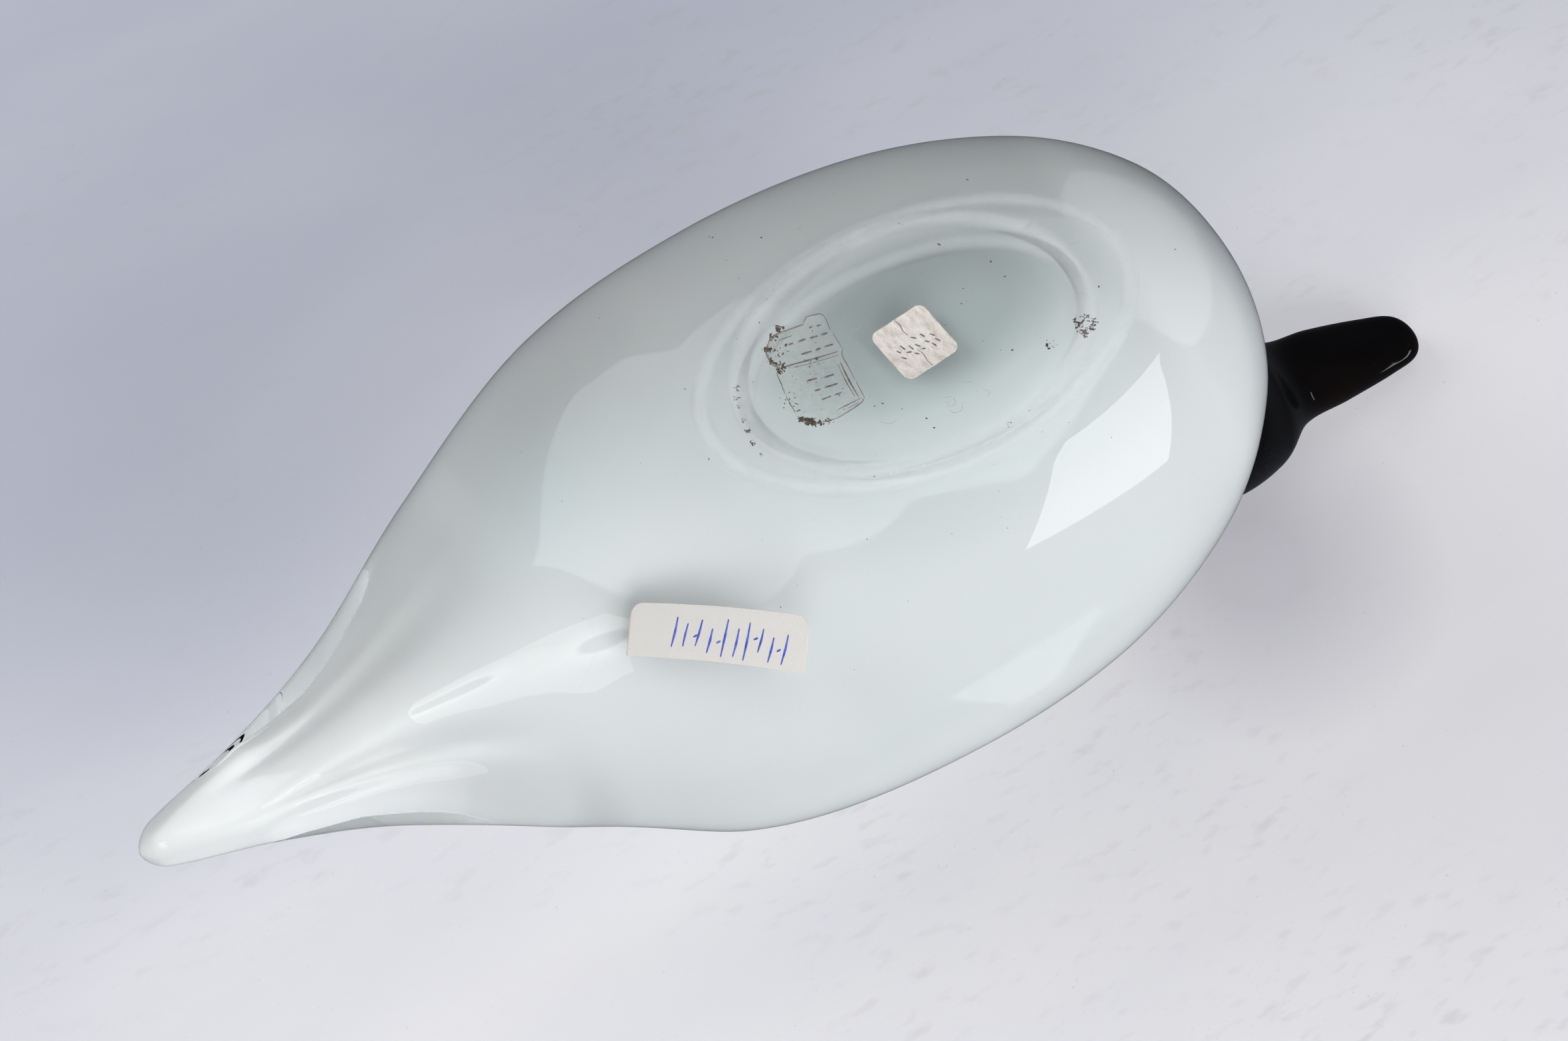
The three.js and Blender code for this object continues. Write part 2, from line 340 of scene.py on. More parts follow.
# Opal core: the same skin drawn in, its underside lifted clear of the foot. In the tail it reaches across as
# far as the casing's reach less the clear glass, over what the casing magnifies
def makeCore():
    t = weightedPlaces(core["short"][0], bodySpans - core["short"][1], core["rings"], np.ones_like)
    angle = weightedPlaces(0, 2 * math.pi, core["sides"] + 1, np.ones_like)[:-1]
    rows = splineRows(bodyRows, t)
    x, mid = rows[:, 0][:, None], rows[:, 2][:, None]
    inset = core["tailInset"] + (core["inset"] - core["tailInset"]) * smoothStep(x, *core["insetX"])
    c, s = math.cos(math.radians(core["turn"])), math.sin(math.radians(core["turn"]))

    def reach(p):
        return p[..., 1] * c + (p[..., 2] - mid) * s

    skin, p = bodySkin(t, angle), bodySkin(t, angle, inset)
    across, down = reach(p), p[..., 1] * s - (p[..., 2] - mid) * c
    down = np.where(down < 0, down * (1 - core["flat"] * shareAt(x, *core["flatX"])), down)
    scale = []
    for clear, side in (("clearLow", 1), ("clearHigh", -1)):
        widest = (side * reach(skin)).max(1, keepdims=True)
        wanted = (widest - np.interp(x, core["clearX"], core[clear])) / core["magnified"]
        scale.append(np.clip(wanted / (side * across).max(1, keepdims=True), 0, 1))
    across = across * np.where(across > 0, scale[0], scale[1])
    p[..., 1] = across * c + down * s
    p[..., 2] = across * s - down * c + mid
    below = -roundedCircle(angle, body["roundness"])[1]
    p[..., 2] += core["lift"] * shareAt(x, *core["liftX"]) * smoothStep(below, *core["liftBelow"])
    p[..., 2] = softMax(p[..., 2], 0 * p[..., 2] + core["inset"], core["lowBlend"])
    p[..., 0] -= core["breastInset"] * smoothStep(p[..., 0], *core["breastX"])
    first, last = p[0].mean(0), p[-1].mean(0)
    return ringMesh("opal_core", p * mm, first * mm, last * mm)


glassBody = belongs(makeBody(), "body")
opalCore = belongs(makeCore())
print("body built", len(glassBody.data.polygons), len(opalCore.data.polygons))


# Neck, head and bill

head = {
    # sections along the spine: x, half width, spine height, half thickness
    "rows": [
        (46, 25, 60, 23),
        (65, 21.5, 80.5, 20),
        (83, 18.2, 94.5, 16.8),
        (100, 23.4, 105.8, 21.2),
        (116.5, 20.4, 112.2, 14.6),
        (130, 12.4, 115.6, 8),
        (144.5, 11.1, 118, 5.6),
        (160.5, 8.9, 122, 4),
        (170.5, 6.3, 124.6, 3.2),
        (173.7, 0, 125.4, 0),
    ],
    "roundness": 2.1,
    # fillet round the neck's root: how wide, how far it reaches, and between which sections it ends
    "fillet": 1.6,
    "filletReach": 2.2,
    "filletEnds": (1.6, 2.4),
    # an oval's distance from a skin is about this share of its radius' excess
    "skinShare": 0.85,
    # more rings in the bill's tip, by a share
    "finerTip": 0.8,
    "rings": 260,
    "sides": 128,
}


# Body's skin as a table over x, for heights and distances
skinTable = splineRows(bodyRows, np.linspace(0, bodySpans, 3000))
skinTable = skinTable[np.argsort(skinTable[:, 0])]


# How far a point lies outside the body's skin: its rounded radius less one, times the section's size
def outsideBody(p):
    w, mid, h = [np.interp(p[..., 0], skinTable[:, 0], skinTable[:, k]) for k in (1, 2, 3)]
    n = body["roundness"]
    across, up = np.abs(p[..., 1]) / np.maximum(w, 1), np.abs(p[..., 2] - mid) / np.maximum(h, 1)
    return ((across**n + up**n) ** (1 / n) - 1) * np.minimum(w, h) * head["skinShare"]


# Section at place t: an oval square to the spine, wider in a fillet where it meets the body
def makeHead():
    rows = np.array([list(map(float, r)) for r in head["rows"]])
    before = 2 * rows[0] - rows[1]
    past = rows[-2] * [1, -1, 1, -1]
    rows = np.vstack([before, rows, past])
    spans = len(head["rows"]) - 1
    t = weightedPlaces(0, spans, head["rings"] + 1, lambda v: 1 + head["finerTip"] * (v > spans - 1))[:-1]
    angle = fullTurn(head["sides"])
    r = splineRows(rows, t)
    d = np.gradient(r[:, [0, 2]], t, axis=0)
    d /= np.linalg.norm(d, axis=1)[:, None]
    c, s = roundedCircle(angle, head["roundness"])
    w, h = r[:, 1][:, None], r[:, 3][:, None]

    def section(grow):
        x = r[:, 0][:, None] - d[:, 1][:, None] * (h + grow) * s
        z = r[:, 2][:, None] + d[:, 0][:, None] * (h + grow) * s
        return np.stack([x, (w + grow) * c, z], -1)

    out = outsideBody(section(0.0))
    onNeck = 1 - smoothStep(t, *head["filletEnds"])[:, None]
    p = section(head["fillet"] * np.exp(-np.maximum(out, 0) / head["filletReach"]) * onNeck)
    return ringMesh("black_head", p * mm, tipOf(r[0]), tipOf(rows[-2]))


blackHead = belongs(makeHead(), "head")
print("head built", len(blackHead.data.polygons))


# Labels

labels = {
    # place on the underside and turn; length and width, where its edges aren't drawn below; thickness
    "paper_tag": {"x": -54.6, "y": 34.0, "turn": 36, "length": 36.2, "width": 9.4, "thick": 0.16},
    "square_tag": {"x": 13.4, "y": -2.2, "turn": 83, "length": 13.6, "width": 14, "thick": 0.14},
    "worn_label": {"x": -9.2, "y": -4.6, "turn": 97, "thick": 0.07},
}
edges = {
    # how far labels stand off the glass, and what their UV map spans
    "gap": 0.03,
    "mapSpan": 40,
    # radii of the paper tag's lower and upper corners, and of the square tag's
    "tagCorners": (2.2, 0.35),
    "squareCorners": 1.9,
    # ragged ends of the square tag: two waves, each by its height, its turns per mm and its start
    "ragged": ((0.05, 7.3, 0), (0.04, 17.1, 1)),
    # worn film, as u and how far out the edge lies: a straighter edge, and a torn one on the other side
    "straight": (
        [-13.2, -12.6, -9, -4.4, -2.7, 1.8, 8.2, 9.2, 11.4],
        [5.6, 7, 7.2, 7.9, 7.2, 7.4, 7.4, 6.2, -0.6],
    ),
    "torn": (
        [-13.2, -11.6, -11.2, -10.6, -9.4, -8.1, -5.4, -3.5, -2.7, 3.3, 8.2, 10.2, 11.4],
        [-3.4, -2, 3.2, 5.9, 7.2, 8.2, 8.4, 6.9, 8, 8.3, 8.1, 7, 4.6],
    ),
    "tornWaves": ((0.14, 5.1, 1.7), (0.1, 11.3)),
}


# Underside of the glass as a height over x and y: the skin's lower half with the foot and its hollow
def glassHeight(x, y):
    w, mid, h = [np.interp(x, skinTable[:, 0], skinTable[:, k]) for k in (1, 2, 3)]
    n = body["roundness"]
    share = np.clip(np.abs(y) / np.maximum(w, 0.1), 0, 1)
    down = (1 - share**n) ** (1 / n)
    return underside(x, y, mid - h * down - sagAt(x) * down**2)


# Point of the glass under (x, y), moved out along its normal, which comes from the height's slopes
def onGlass(x, y, offset):
    step = 0.2
    z = glassHeight(x, y)
    dx = (glassHeight(x + step, y) - glassHeight(x - step, y)) / (2 * step)
    dy = (glassHeight(x, y + step) - glassHeight(x, y - step)) / (2 * step)
    normal = np.stack([dx, dy, -np.ones_like(z)], -1)
    normal /= np.linalg.norm(normal, axis=-1)[..., None]
    return np.stack([x, y, z], -1) + normal * np.asarray(offset)[..., None]


# Label's own (u, v) turned and moved to (x, y)
def labelPlace(label, u, v):
    a = math.radians(label["turn"])
    return label["x"] + u * math.cos(a) - v * math.sin(a), label["y"] + u * math.sin(a) + v * math.cos(a)


# How far a row's end is drawn in at height v so that a corner of this radius is round
def cornerCut(v, half, radius):
    over = np.clip(np.abs(v) - (half - radius), 0, radius)
    return radius - np.sqrt(radius**2 - over**2)


# Label draped on the glass over its own (u, v), which it carries as a UV map
def draped(pieceName, label, u, v):
    x, y = labelPlace(label, u, v)
    inner = onGlass(x, y, edges["gap"] + 0 * u)
    outer = onGlass(x, y, edges["gap"] + label["thick"] + 0 * u)
    obj = joinParts(pieceName, [sheetPart(inner, outer)])
    addPlaceMap(obj, u, v)
    return obj


# Lines from low to high, one for each pair, with so many points
def spread(low, high, count):
    return low[:, None] + (high - low)[:, None] * np.linspace(0, 1, count)[None, :]


# The label's (u, v) as a UV map of both faces, centred on 0.5
def addPlaceMap(obj, u, v):
    layer = obj.data.uv_layers.new(name="place")
    corner = np.empty(len(obj.data.loops), np.int32)
    obj.data.loops.foreach_get("vertex_index", corner)
    place = np.stack([u.ravel() / edges["mapSpan"] + 0.5, v.ravel() / edges["mapSpan"] + 0.5], -1)
    layer.data.foreach_set("uv", np.vstack([place, place])[corner].ravel().astype(np.float32))


# Paper label: rows over its width, closer together at its sides, each drawn in at both ends by a cut
def paperLabel(pieceName, label, rows, cutAt, cols=90):
    half, end = label["width"] / 2, label["length"] / 2
    v = half * np.sin(np.linspace(-math.pi / 2, math.pi / 2, rows))
    cut = cutAt(v, half)
    u = spread(cut - end, end - cut, cols)
    return draped(pieceName, label, u, v[:, None] + 0 * u)


def tagCut(v, half):
    lower, upper = (cornerCut(v, half, radius) for radius in edges["tagCorners"])
    return np.where(v < 0, lower, upper)


def squareCut(v, half):
    rough = sum(high * np.sin(v * turns + start) for high, turns, start in edges["ragged"])
    return cornerCut(v, half, edges["squareCorners"]) + rough


# Worn film: rows over u, between a straighter edge on one side and a torn one on the other
def wornLabel(rows=120, cols=80):
    u = np.linspace(edges["torn"][0][0], edges["torn"][0][-1], rows)
    torn = np.interp(u, *edges["torn"])
    for high, *turns in edges["tornWaves"]:
        torn = torn + high * np.prod([np.sin(u * k) for k in turns], axis=0)
    v = spread(-np.interp(u, *edges["straight"]), torn, cols)
    return draped("label_film", labels["worn_label"], u[:, None] + 0 * v, v)


tagPaper = belongs(paperLabel("tag_paper", labels["paper_tag"], 48, tagCut), "paper_tag")
tagSquare = belongs(paperLabel("tag_square", labels["square_tag"], 64, squareCut), "square_tag")
labelFilm = belongs(wornLabel(), "worn_label")
print("labels built")


# Pen strokes, printed rules, hairs and scratches

strokes = {
    # each stroke: width, then u and v of its points on the label; they are no letters and no digits
    "tag": [
        (0.42, -8.4, -2.4, -8.7, 0.2, -9.2, 2.8), (0.4, -6.2, -1.4, -6.6, 0.6, -6.9, 2.6),
        (0.36, -4.9, 0.9, -4.2, 0.5), (0.42, -3.4, -2.2, -3.8, 0, -4.4, 2.4),
        (0.44, -1.2, -0.8, -1.5, 1.2, -2, 3.4), (0.36, -0.2, 1.6, 0.6, 1.2),
        (0.42, 1.8, -2.6, 1.4, 0.4, 0.9, 3.8), (0.42, 4.1, -1.2, 3.8, 1.2, 3.3, 3.6),
        (0.42, 6.2, -2.4, 5.9, 0.8, 5.4, 4), (0.36, 7.2, 0.4, 8, 0), (0.4, 9, -1.6, 8.7, 0.4, 8.2, 2.4),
        (0.42, 11.2, -0.4, 10.9, 1.6, 10.4, 3.8), (0.36, 12, 1.8, 12.8, 1.4),
        (0.42, 14, -1.2, 13.7, 1.2, 13.1, 3.8),
    ],
    "square": [
        (0.34, -0.6, 4.4, 0.4, 3.9), (0.3, 1.2, 4.5, 2.2, 3.8), (0.34, -1.2, 3, 0.2, 2.7),
        (0.36, 0.9, 2.9, 1.4, 1.9), (0.34, -0.2, 1.5, 1.2, 1.2), (0.3, 2, 1.6, 2.8, 0.9),
        (0.34, -1.5, -0.1, -0.6, -0.9), (0.34, 0.4, 0.2, 1.5, -0.4), (0.3, 2, -0.2, 2.5, -1),
        (0.34, -1, -2.2, 0.2, -2.6), (0.3, 0.9, -1.9, 1.8, -2.7), (0.34, 2.2, -2.9, 3.4, -3.2),
        (0.3, 0.2, -3.9, 1.2, -4.5), (0.34, 1.7, -4.1, 3, -4.6),
    ],
    "slits": [
        (0.2, -6.6, 0.3, -5.2, 0, -3.6, 0.3, -2.2, 0.1), (0.16, 1.6, 0.5, 3.4, 0.3, 5.2, 0.6, 6.7, 0.5),
    ],
    # dirt caught along the film's edge, in broken lines
    "filmEdge": [
        (0.2, -13, -3.2, -12.9, -5, -12.4, -6.8, -9, -7.1), (0.16, -8.2, -7.3, -6, -7.6, -4.5, -7.8),
        (0.2, -4.2, -7.7, -2.8, -7.1, 0, -7.2, 3.2, -7.3), (0.16, 4, -7.3, 6.4, -7.3, 8.2, -7.3),
        (0.2, 8.3, -7.2, 9.2, -6.1, 10.2, -3.2, 11.3, 0.4), (0.2, 11.3, 0.6, 11.4, 2.6, 11.3, 4.4),
        (0.24, 11.2, 4.6, 10.2, 6.9, 8.4, 8), (0.18, 7.4, 8.1, 5.4, 8.2, 3.2, 8.3),
        (0.2, 2.4, 8.3, 0, 8.1, -2.6, 8), (0.3, -2.8, 7.9, -3.5, 6.9, -4.4, 7.8, -5.4, 8.3),
        (0.3, -5.6, 8.3, -7.2, 8.3, -8.2, 8.1, -9.4, 7.1),
        (0.3, -9.5, 7, -10.6, 5.8, -11.2, 3.2, -11.6, -1.9),
        (0.24, -11.8, -2.1, -12.6, -2.8, -13.1, -3.3),
    ],
    "film": [
        (0.34, -10.6, -5.6, -10.5, -4.5), (0.34, -10.7, -3.6, -10.5, -2.8),
        (0.42, -8.6, -6.2, -8.5, -4.7), (0.42, -8.5, -3.9, -8.4, -2.1), (0.42, -8.4, -1, -8.2, 0.8),
        (0.42, -8.2, 1.9, -8.1, 3), (0.42, -5.9, -6.3, -5.8, -4.3), (0.42, -5.8, -3.4, -5.6, -2.2),
        (0.42, -5.6, -1.2, -5.4, 1.2), (0.34, -4, -6.6, -3.9, -2, -3.7, 2.6, -3.5, 6.2),
        (0.14, -3.2, -6.5, -3.1, -1, -2.9, 4.4), (0.16, -9.9, 1.4, -9.6, 4.6),
        (0.36, -1.4, -6.1, 2.6, -6, 7.6, -6.2), (0.16, -1.2, -5.4, 3.2, -5.3, 7.2, -5.5),
        (0.42, 0.8, -3.6, 0.9, -1.2), (0.42, 0.6, 0.2, 0.7, 2.6), (0.42, 3.1, -3.4, 3.2, -0.4),
        (0.42, 3.3, 0.6, 3.4, 1.9), (0.34, 5.4, -3.2, 5.6, -1.6), (0.34, 5.6, -0.8, 5.8, 1.4),
        (0.18, 8.1, -6.4, 8.7, -3.2, 9.2, -0.6), (0.14, 9, -5.6, 9.5, -3),
    ],
}


# a stroke's width at its ends and what its middle adds, how much and how often it wavers, its depth
pen = {"ends": 0.55, "middle": 0.45, "waver": 0.12, "waves": 9, "sunk": 0.015}


# Ribbon: a smooth line through its points, widened to both sides and narrowed towards its ends
def ribbon(points, width, steps=26):
    p = np.vstack([2 * points[0] - points[1], points, 2 * points[-1] - points[-2]])
    t = np.linspace(0, len(points) - 1, steps)
    line = splineRows(p, t)
    along = np.gradient(line, axis=0)
    along /= np.linalg.norm(along, axis=1)[:, None] + 1e-9
    side = np.stack([-along[:, 1], along[:, 0]], -1)
    k = t / t[-1]
    waver = pen["waver"] * np.sin(pen["waves"] * k + len(points))
    half = width / 2 * (pen["ends"] + pen["middle"] * np.sqrt(np.sin(math.pi * k)) + waver)
    return line[:, None, :] + side[:, None, :] * (half[:, None] * np.array([-1, 0, 1]))[..., None]


def ribbonsOn(name, label, lines, thick):
    parts = []
    top = edges["gap"] + label["thick"] if label else 0.01
    for width, *flat in lines:
        band = ribbon(np.reshape(flat, (-1, 2)), width)
        x, y = labelPlace(label, band[..., 0], band[..., 1]) if label else (band[..., 0], band[..., 1])
        parts.append(sheetPart(onGlass(x, y, top - pen["sunk"] + 0 * x), onGlass(x, y, top + thick + 0 * x)))
    return belongs(joinParts(name, parts))


tagInk = ribbonsOn("tag_pen_strokes", labels["paper_tag"], strokes["tag"], 0.02)
squareMarks = ribbonsOn("square_marks", labels["square_tag"], strokes["square"], 0.02)
squareSlits = ribbonsOn("square_slits", labels["square_tag"], strokes["slits"], 0.015)
filmRules = ribbonsOn("film_rules", labels["worn_label"], strokes["film"], 0.02)
filmEdge = ribbonsOn("film_edge", labels["worn_label"], strokes["filmEdge"], 0.03)

wear = {
    # scratches and hairs on the underside: width, then x and y of each point
    "scratches": [
        (0.1, 46.3, 7.4, 47.6, 6.9, 48.9, 6.9), (0.1, 48.9, 6.9, 49.3, 8.1, 49.1, 9.5),
        (0.09, 46.2, -12.6, 48, -13, 49.6, -13.4), (0.07, 46.9, -12, 48.6, -12.7, 50.4, -13),
        (0.07, 45.7, -11.9, 47.2, -12.4, 48.6, -12.7), (0.1, 53, -4.3, 53.8, -3.9, 54.7, -3.8),
        (0.07, -61.8, -21.5, -60.6, -21.1),
    ],
    "hairs": [
        (0.07, 11.2, 12.6, 12.9, 13.3, 12.6, 15.2, 11, 15.4, 11.3, 13.9),
        (0.07, 13.6, 15.8, 12.6, 17.6, 10.8, 17.4, 10.6, 16.2), (0.07, 19, 15.2, 20, 16.6, 18.8, 17.6),
        (0.06, 17.2, 11.6, 18.6, 12.4, 18.2, 13.6), (0.05, 2.2, -9.6, 4.4, -10.6, 6.6, -10.2),
        (0.05, -3.6, 11.4, -1.8, 12.8, 0.6, 12.6),
    ],
    # clusters of dirt: place, spread, how many flakes, their size, and the radius of their ring, if any
    "clusters": [
        (45.2, 13.9, 0.45, 90, 0.26, 1.75), (43.6, 15.9, 0.35, 26, 0.26), (36.7, 14, 0.55, 14, 0.24),
        (29.8, 10.2, 0.2, 5, 0.2), (5.4, 15.5, 0.22, 6, 0.2), (5.1, 18.7, 0.05, 2, 0.2),
        (18, 26.6, 0.4, 6, 0.2), (23.3, 26.2, 0.2, 3, 0.17), (26.9, -5.3, 0.05, 2, 0.18),
        (37.1, -10.1, 0.08, 2, 0.15), (29.3, -18.8, 0.06, 2, 0.2), (23.9, -26.1, 0.3, 4, 0.17),
        (-0.4, 7.5, 0.1, 3, 0.2), (52.3, 7.8, 0.05, 2, 0.15), (-39.7, 3.6, 0.1, 2, 0.17),
        (-12.6, 23.7, 0.2, 3, 0.18), (-9.2, -49.4, 0.3, 4, 0.16), (-2, -40.1, 0.1, 2, 0.16),
        (-35.7, -13.2, 0.1, 2, 0.16), (-23.8, -12, 0.25, 4, 0.16), (-26.4, -8.2, 0.3, 10, 0.22),
        (-27.6, -5.9, 0.35, 12, 0.2), (-28.2, -3.7, 0.3, 8, 0.18), (-29.3, -0.6, 0.25, 6, 0.2),
        (-29.7, 1.9, 0.3, 14, 0.24), (-30.2, 4.6, 0.35, 10, 0.2), (-29.9, 8.2, 0.3, 4, 0.16),
        (12, 0, 26, 150, 0.09), (-10, 10, 45, 90, 0.08),
    ],
    # dirt caught on the worn label, in its own (u, v)
    "labelClusters": [
        (10.6, 5.9, 0.55, 70, 0.34), (9.4, 7.6, 0.35, 30, 0.3), (11.4, 4.4, 0.3, 20, 0.3),
        (-11.9, 3.6, 0.4, 26, 0.26), (-10.6, 5.6, 0.45, 24, 0.24), (-8.2, 7.9, 0.45, 26, 0.26),
        (-5.6, 8, 0.5, 26, 0.26), (-4.2, 6.2, 0.6, 26, 0.26), (-7, 6, 1, 22, 0.2),
        (-3.2, 7.2, 0.4, 16, 0.22), (4, 8.1, 1.6, 18, 0.16), (-1, 0.5, 4.6, 60, 0.12),
        (11.2, 2, 0.8, 16, 0.18),
    ],
}


flake = {
    # logarithm of a flake's size, its mean and spread; its ragged radius; how far it is drawn out
    "sizes": (-0.35, 0.45),
    "ragged": (0.55, 1.25),
    "drawnOut": 0.6,
    # height over size and at most, and how far its rim is sunk
    "height": 0.25,
    "high": 0.05,
    "highOnLabel": 0.09,
    "sunk": 0.02,
    # part of the underside that keeps its flakes
    "nearEdge": 0.8,
    "fromX": -120,
    "toX": 80,
}


# Flakes: low domes with a ragged rim, drawn out in one direction; a cluster scatters or rings them
def flakes(name, clusters, label=None, sides=9):
    u, v, size = [], [], []
    for cu, cv, spread, count, radius, *ring in clusters:
        ring = sum(ring)
        turn = rng.uniform(0, 2 * math.pi, count)
        u.append(cu + rng.normal(0, spread, count) + ring * np.cos(turn))
        v.append(cv + rng.normal(0, spread, count) + ring * np.sin(turn))
        size.append(radius * rng.lognormal(*flake["sizes"], count))
    u, v, size = np.concatenate(u), np.concatenate(v), np.concatenate(size)
    if not label:
        width = np.interp(u, skinTable[:, 0], skinTable[:, 1])
        keep = (np.abs(v) < flake["nearEdge"] * width) & (u > flake["fromX"]) & (u < flake["toX"])
        u, v, size = u[keep], v[keep], size[keep]
    u, v, size = u[:, None], v[:, None], size[:, None]
    count = len(u)
    angle = fullTurn(sides)[None, :]
    lean = rng.uniform(0, math.pi, (count, 1))
    reach = size * rng.uniform(*flake["ragged"], (count, sides))
    reach = reach * (1 + flake["drawnOut"] * np.cos(2 * (angle - lean)) * rng.uniform(0, 1, (count, 1)))
    ru, rv = u + reach * np.cos(angle), v + reach * np.sin(angle)
    low = 0.0
    if label:
        u, v = labelPlace(label, u, v)
        ru, rv = labelPlace(label, ru, rv)
        low = edges["gap"] + label["thick"]
    rim = onGlass(ru, rv, low - flake["sunk"] + 0 * ru)
    highest = flake["highOnLabel" if label else "high"]
    top = onGlass(u, v, low + np.minimum(flake["height"] * size, highest))
    bottom = onGlass(u, v, low - 2 * flake["sunk"] + 0 * u)
    points = np.concatenate([rim, top, bottom], 1)
    each = sides + 2
    start = (np.arange(count) * each)[:, None]
    j = np.arange(sides)[None, :]
    n = (j + 1) % sides
    upper = np.stack([start + j + 0 * n, start + n, start + sides + 0 * j], -1).reshape(-1, 3)
    lower = np.stack([start + n, start + j, start + sides + 1 + 0 * j], -1).reshape(-1, 3)
    return belongs(joinParts(name, [(points.reshape(-1, 3), np.vstack([upper, lower]))]))


rimHighlightBands = {
    # painted highlight: pale bands along the foot's rim where its curved glass edges catch light: centre,
    # half length and width, half the band, strength, one side only
    "bands": [
        (12.4, 0.2, 49.4, 29.3, 2.2, 1.0, False),
        (11.5, 0.0, 39.6, 27.6, 2.5, 1.0, False),
        (11.0, 0.5, 38.0, 21.5, 2.2, 0.75, True),
    ],
    "sideFade": (-0.1, 0.5),
    "alpha": 0.17,
}


# Thin closed bands along ovals; the point attribute "soft" falls off across the band
def makeRimHighlightBands():
    parts, soft = [], []
    turn = fullTurn(220)[:, None]
    across = np.linspace(-1, 1, 13)[None, :]
    for cx, cy, a, b, half, strength, oneSide in rimHighlightBands["bands"]:
        nx, ny = b * np.cos(turn), a * np.sin(turn)
        long = np.hypot(nx, ny)
        x = cx + a * np.cos(turn) + half * across * nx / long
        y = cy + b * np.sin(turn) + half * across * ny / long
        inner, outer = onGlass(x, y, 0.005 + 0 * x), onGlass(x, y, 0.03 + 0 * x)
        parts.append(loopPart(np.concatenate([outer, inner[:, ::-1]], 1)))
        side = smoothStep(-np.sin(turn), *rimHighlightBands["sideFade"]) if oneSide else 1 + 0 * turn
        level = strength * (1 - across**2) ** 2 * side
        soft.append(np.concatenate([level, level[:, ::-1]], 1).ravel())
    obj = joinParts("painted_rim_highlight", parts)
    values = obj.data.attributes.new("soft", "FLOAT", "POINT").data
    values.foreach_set("value", np.concatenate(soft).astype(np.float32))
    return belongs(obj)


rimHighlightPiece = makeRimHighlightBands()
footDirt = flakes("foot_dirt", wear["clusters"])
labelDirt = flakes("label_dirt", wear["labelClusters"], labels["worn_label"])
scratches = ribbonsOn("foot_scratches", None, wear["scratches"], 0.015)
hairs = ribbonsOn("foot_hairs", None, wear["hairs"], 0.03)
print("wear built", len(footDirt.data.polygons), len(labelDirt.data.polygons))


# Node helpers

# Tree that new nodes go into
work = {}


def startTree(tree):
    tree.nodes.clear()
    work["tree"] = tree
    return tree


# Adds a node, sets its settings, and links or sets its inputs by name or number
def put(kind, inputs=None, **settings):
    node = work["tree"].nodes.new(kind if kind.startswith("NodeGroup") else "ShaderNode" + kind)
    for key, value in settings.items():
        setattr(node, key, value)
    for key, value in (inputs or {}).items():
        if isinstance(value, bpy.types.NodeSocket):
            work["tree"].links.new(value, node.inputs[key])
        else:
            node.inputs[key].default_value = value
    return node


def newMaterial(name):
    mat = bpy.data.materials.new(name)
    mat.use_nodes = True
    startTree(mat.node_tree)
    return mat


def finishMaterial(mat, shader):
    put("OutputMaterial", {"Surface": shader})
    return mat


# Surface of a material that is one Principled shader
def principled(mat, colour, rough, normal, more=()):
    inputs = {"Base Color": colour, "Roughness": rough, "Normal": normal, **dict(more)}
    return finishMaterial(mat, put("BsdfPrincipled", inputs).outputs[0])


# Mix of two colours, each a socket or the name of a finish
def mixColour(factor, a, b):
    a, b = (finishes[v] if isinstance(v, str) else v for v in (a, b))
    return put("Mix", {0: factor, 6: a, 7: b}, data_type="RGBA").outputs[2]


def maths(operation, a, b=0.0, clamp=False):
    return put("Math", {0: a, 1: b}, operation=operation, use_clamp=clamp).outputs[0]


def times(a, b):
    return maths("MULTIPLY", a, b)


def vectorMaths(operation, a, b=(0, 0, 0)):
    node = put("VectorMath", {0: a, 1: b}, operation=operation)
    return node.outputs["Vector" if operation == "SUBTRACT" else "Value"]


def mapRange(value, low, high, toLow=0.0, toHigh=1.0):
    inputs = {"Value": value, "From Min": low, "From Max": high, "To Min": toLow, "To Max": toHigh}
    return put("MapRange", inputs).outputs["Result"]


def objectPlace():
    return put("TexCoord").outputs["Object"]


# Node group with these inputs and outputs, and the nodes that stand for them inside
def newGroup(name, inputs, outputs):
    tree = startTree(bpy.data.node_groups.new(name, "ShaderNodeTree"))
    for side, names in (("INPUT", inputs), ("OUTPUT", outputs)):
        for label in names:
            kind = "Vector" if label in ("Vector", "Normal") else "Float"
            tree.interface.new_socket(label, in_out=side, socket_type="NodeSocket" + kind)
    return tree, put("NodeGroupInput").outputs, put("NodeGroupOutput").inputs


driftKeys = ("Scale", "Detail", "Low", "High", "Bump")


# Drift: noise cut to a soft mask between two levels, and the same noise as a bump
def makeDrift():
    tree, given, out = newGroup("drift", ("Vector", *driftKeys), ("Mask", "Normal"))
    noise = put("TexNoise", {key: given[key] for key in ("Vector", "Scale", "Detail")})
    bump = put("Bump", {"Height": noise.outputs[0], "Strength": given["Bump"], "Distance": mm})
    tree.links.new(mapRange(noise.outputs[0], given["Low"], given["High"]), out["Mask"])
    tree.links.new(bump.outputs["Normal"], out["Normal"])
    return tree


# Specks: spots round scattered points, larger where a slow noise is high, with edges of an eighth
def makeSpecks():
    tree, given, out = newGroup("specks", ("Vector", "Scale", "Size"), ("Mask",))
    cell = put("TexVoronoi", {"Vector": given["Vector"], "Scale": given["Scale"]})
    slow = put("TexNoise", {"Vector": given["Vector"], "Scale": 60.0, "Detail": 2.0})
    edge = times(given["Size"], mapRange(slow.outputs[0], 0.35, 0.75))
    near = maths("SUBTRACT", edge, cell.outputs["Distance"])
    tree.links.new(maths("MULTIPLY", near, 8.0, clamp=True), out["Mask"])
    return tree


driftGroup, specksGroup = makeDrift(), makeSpecks()


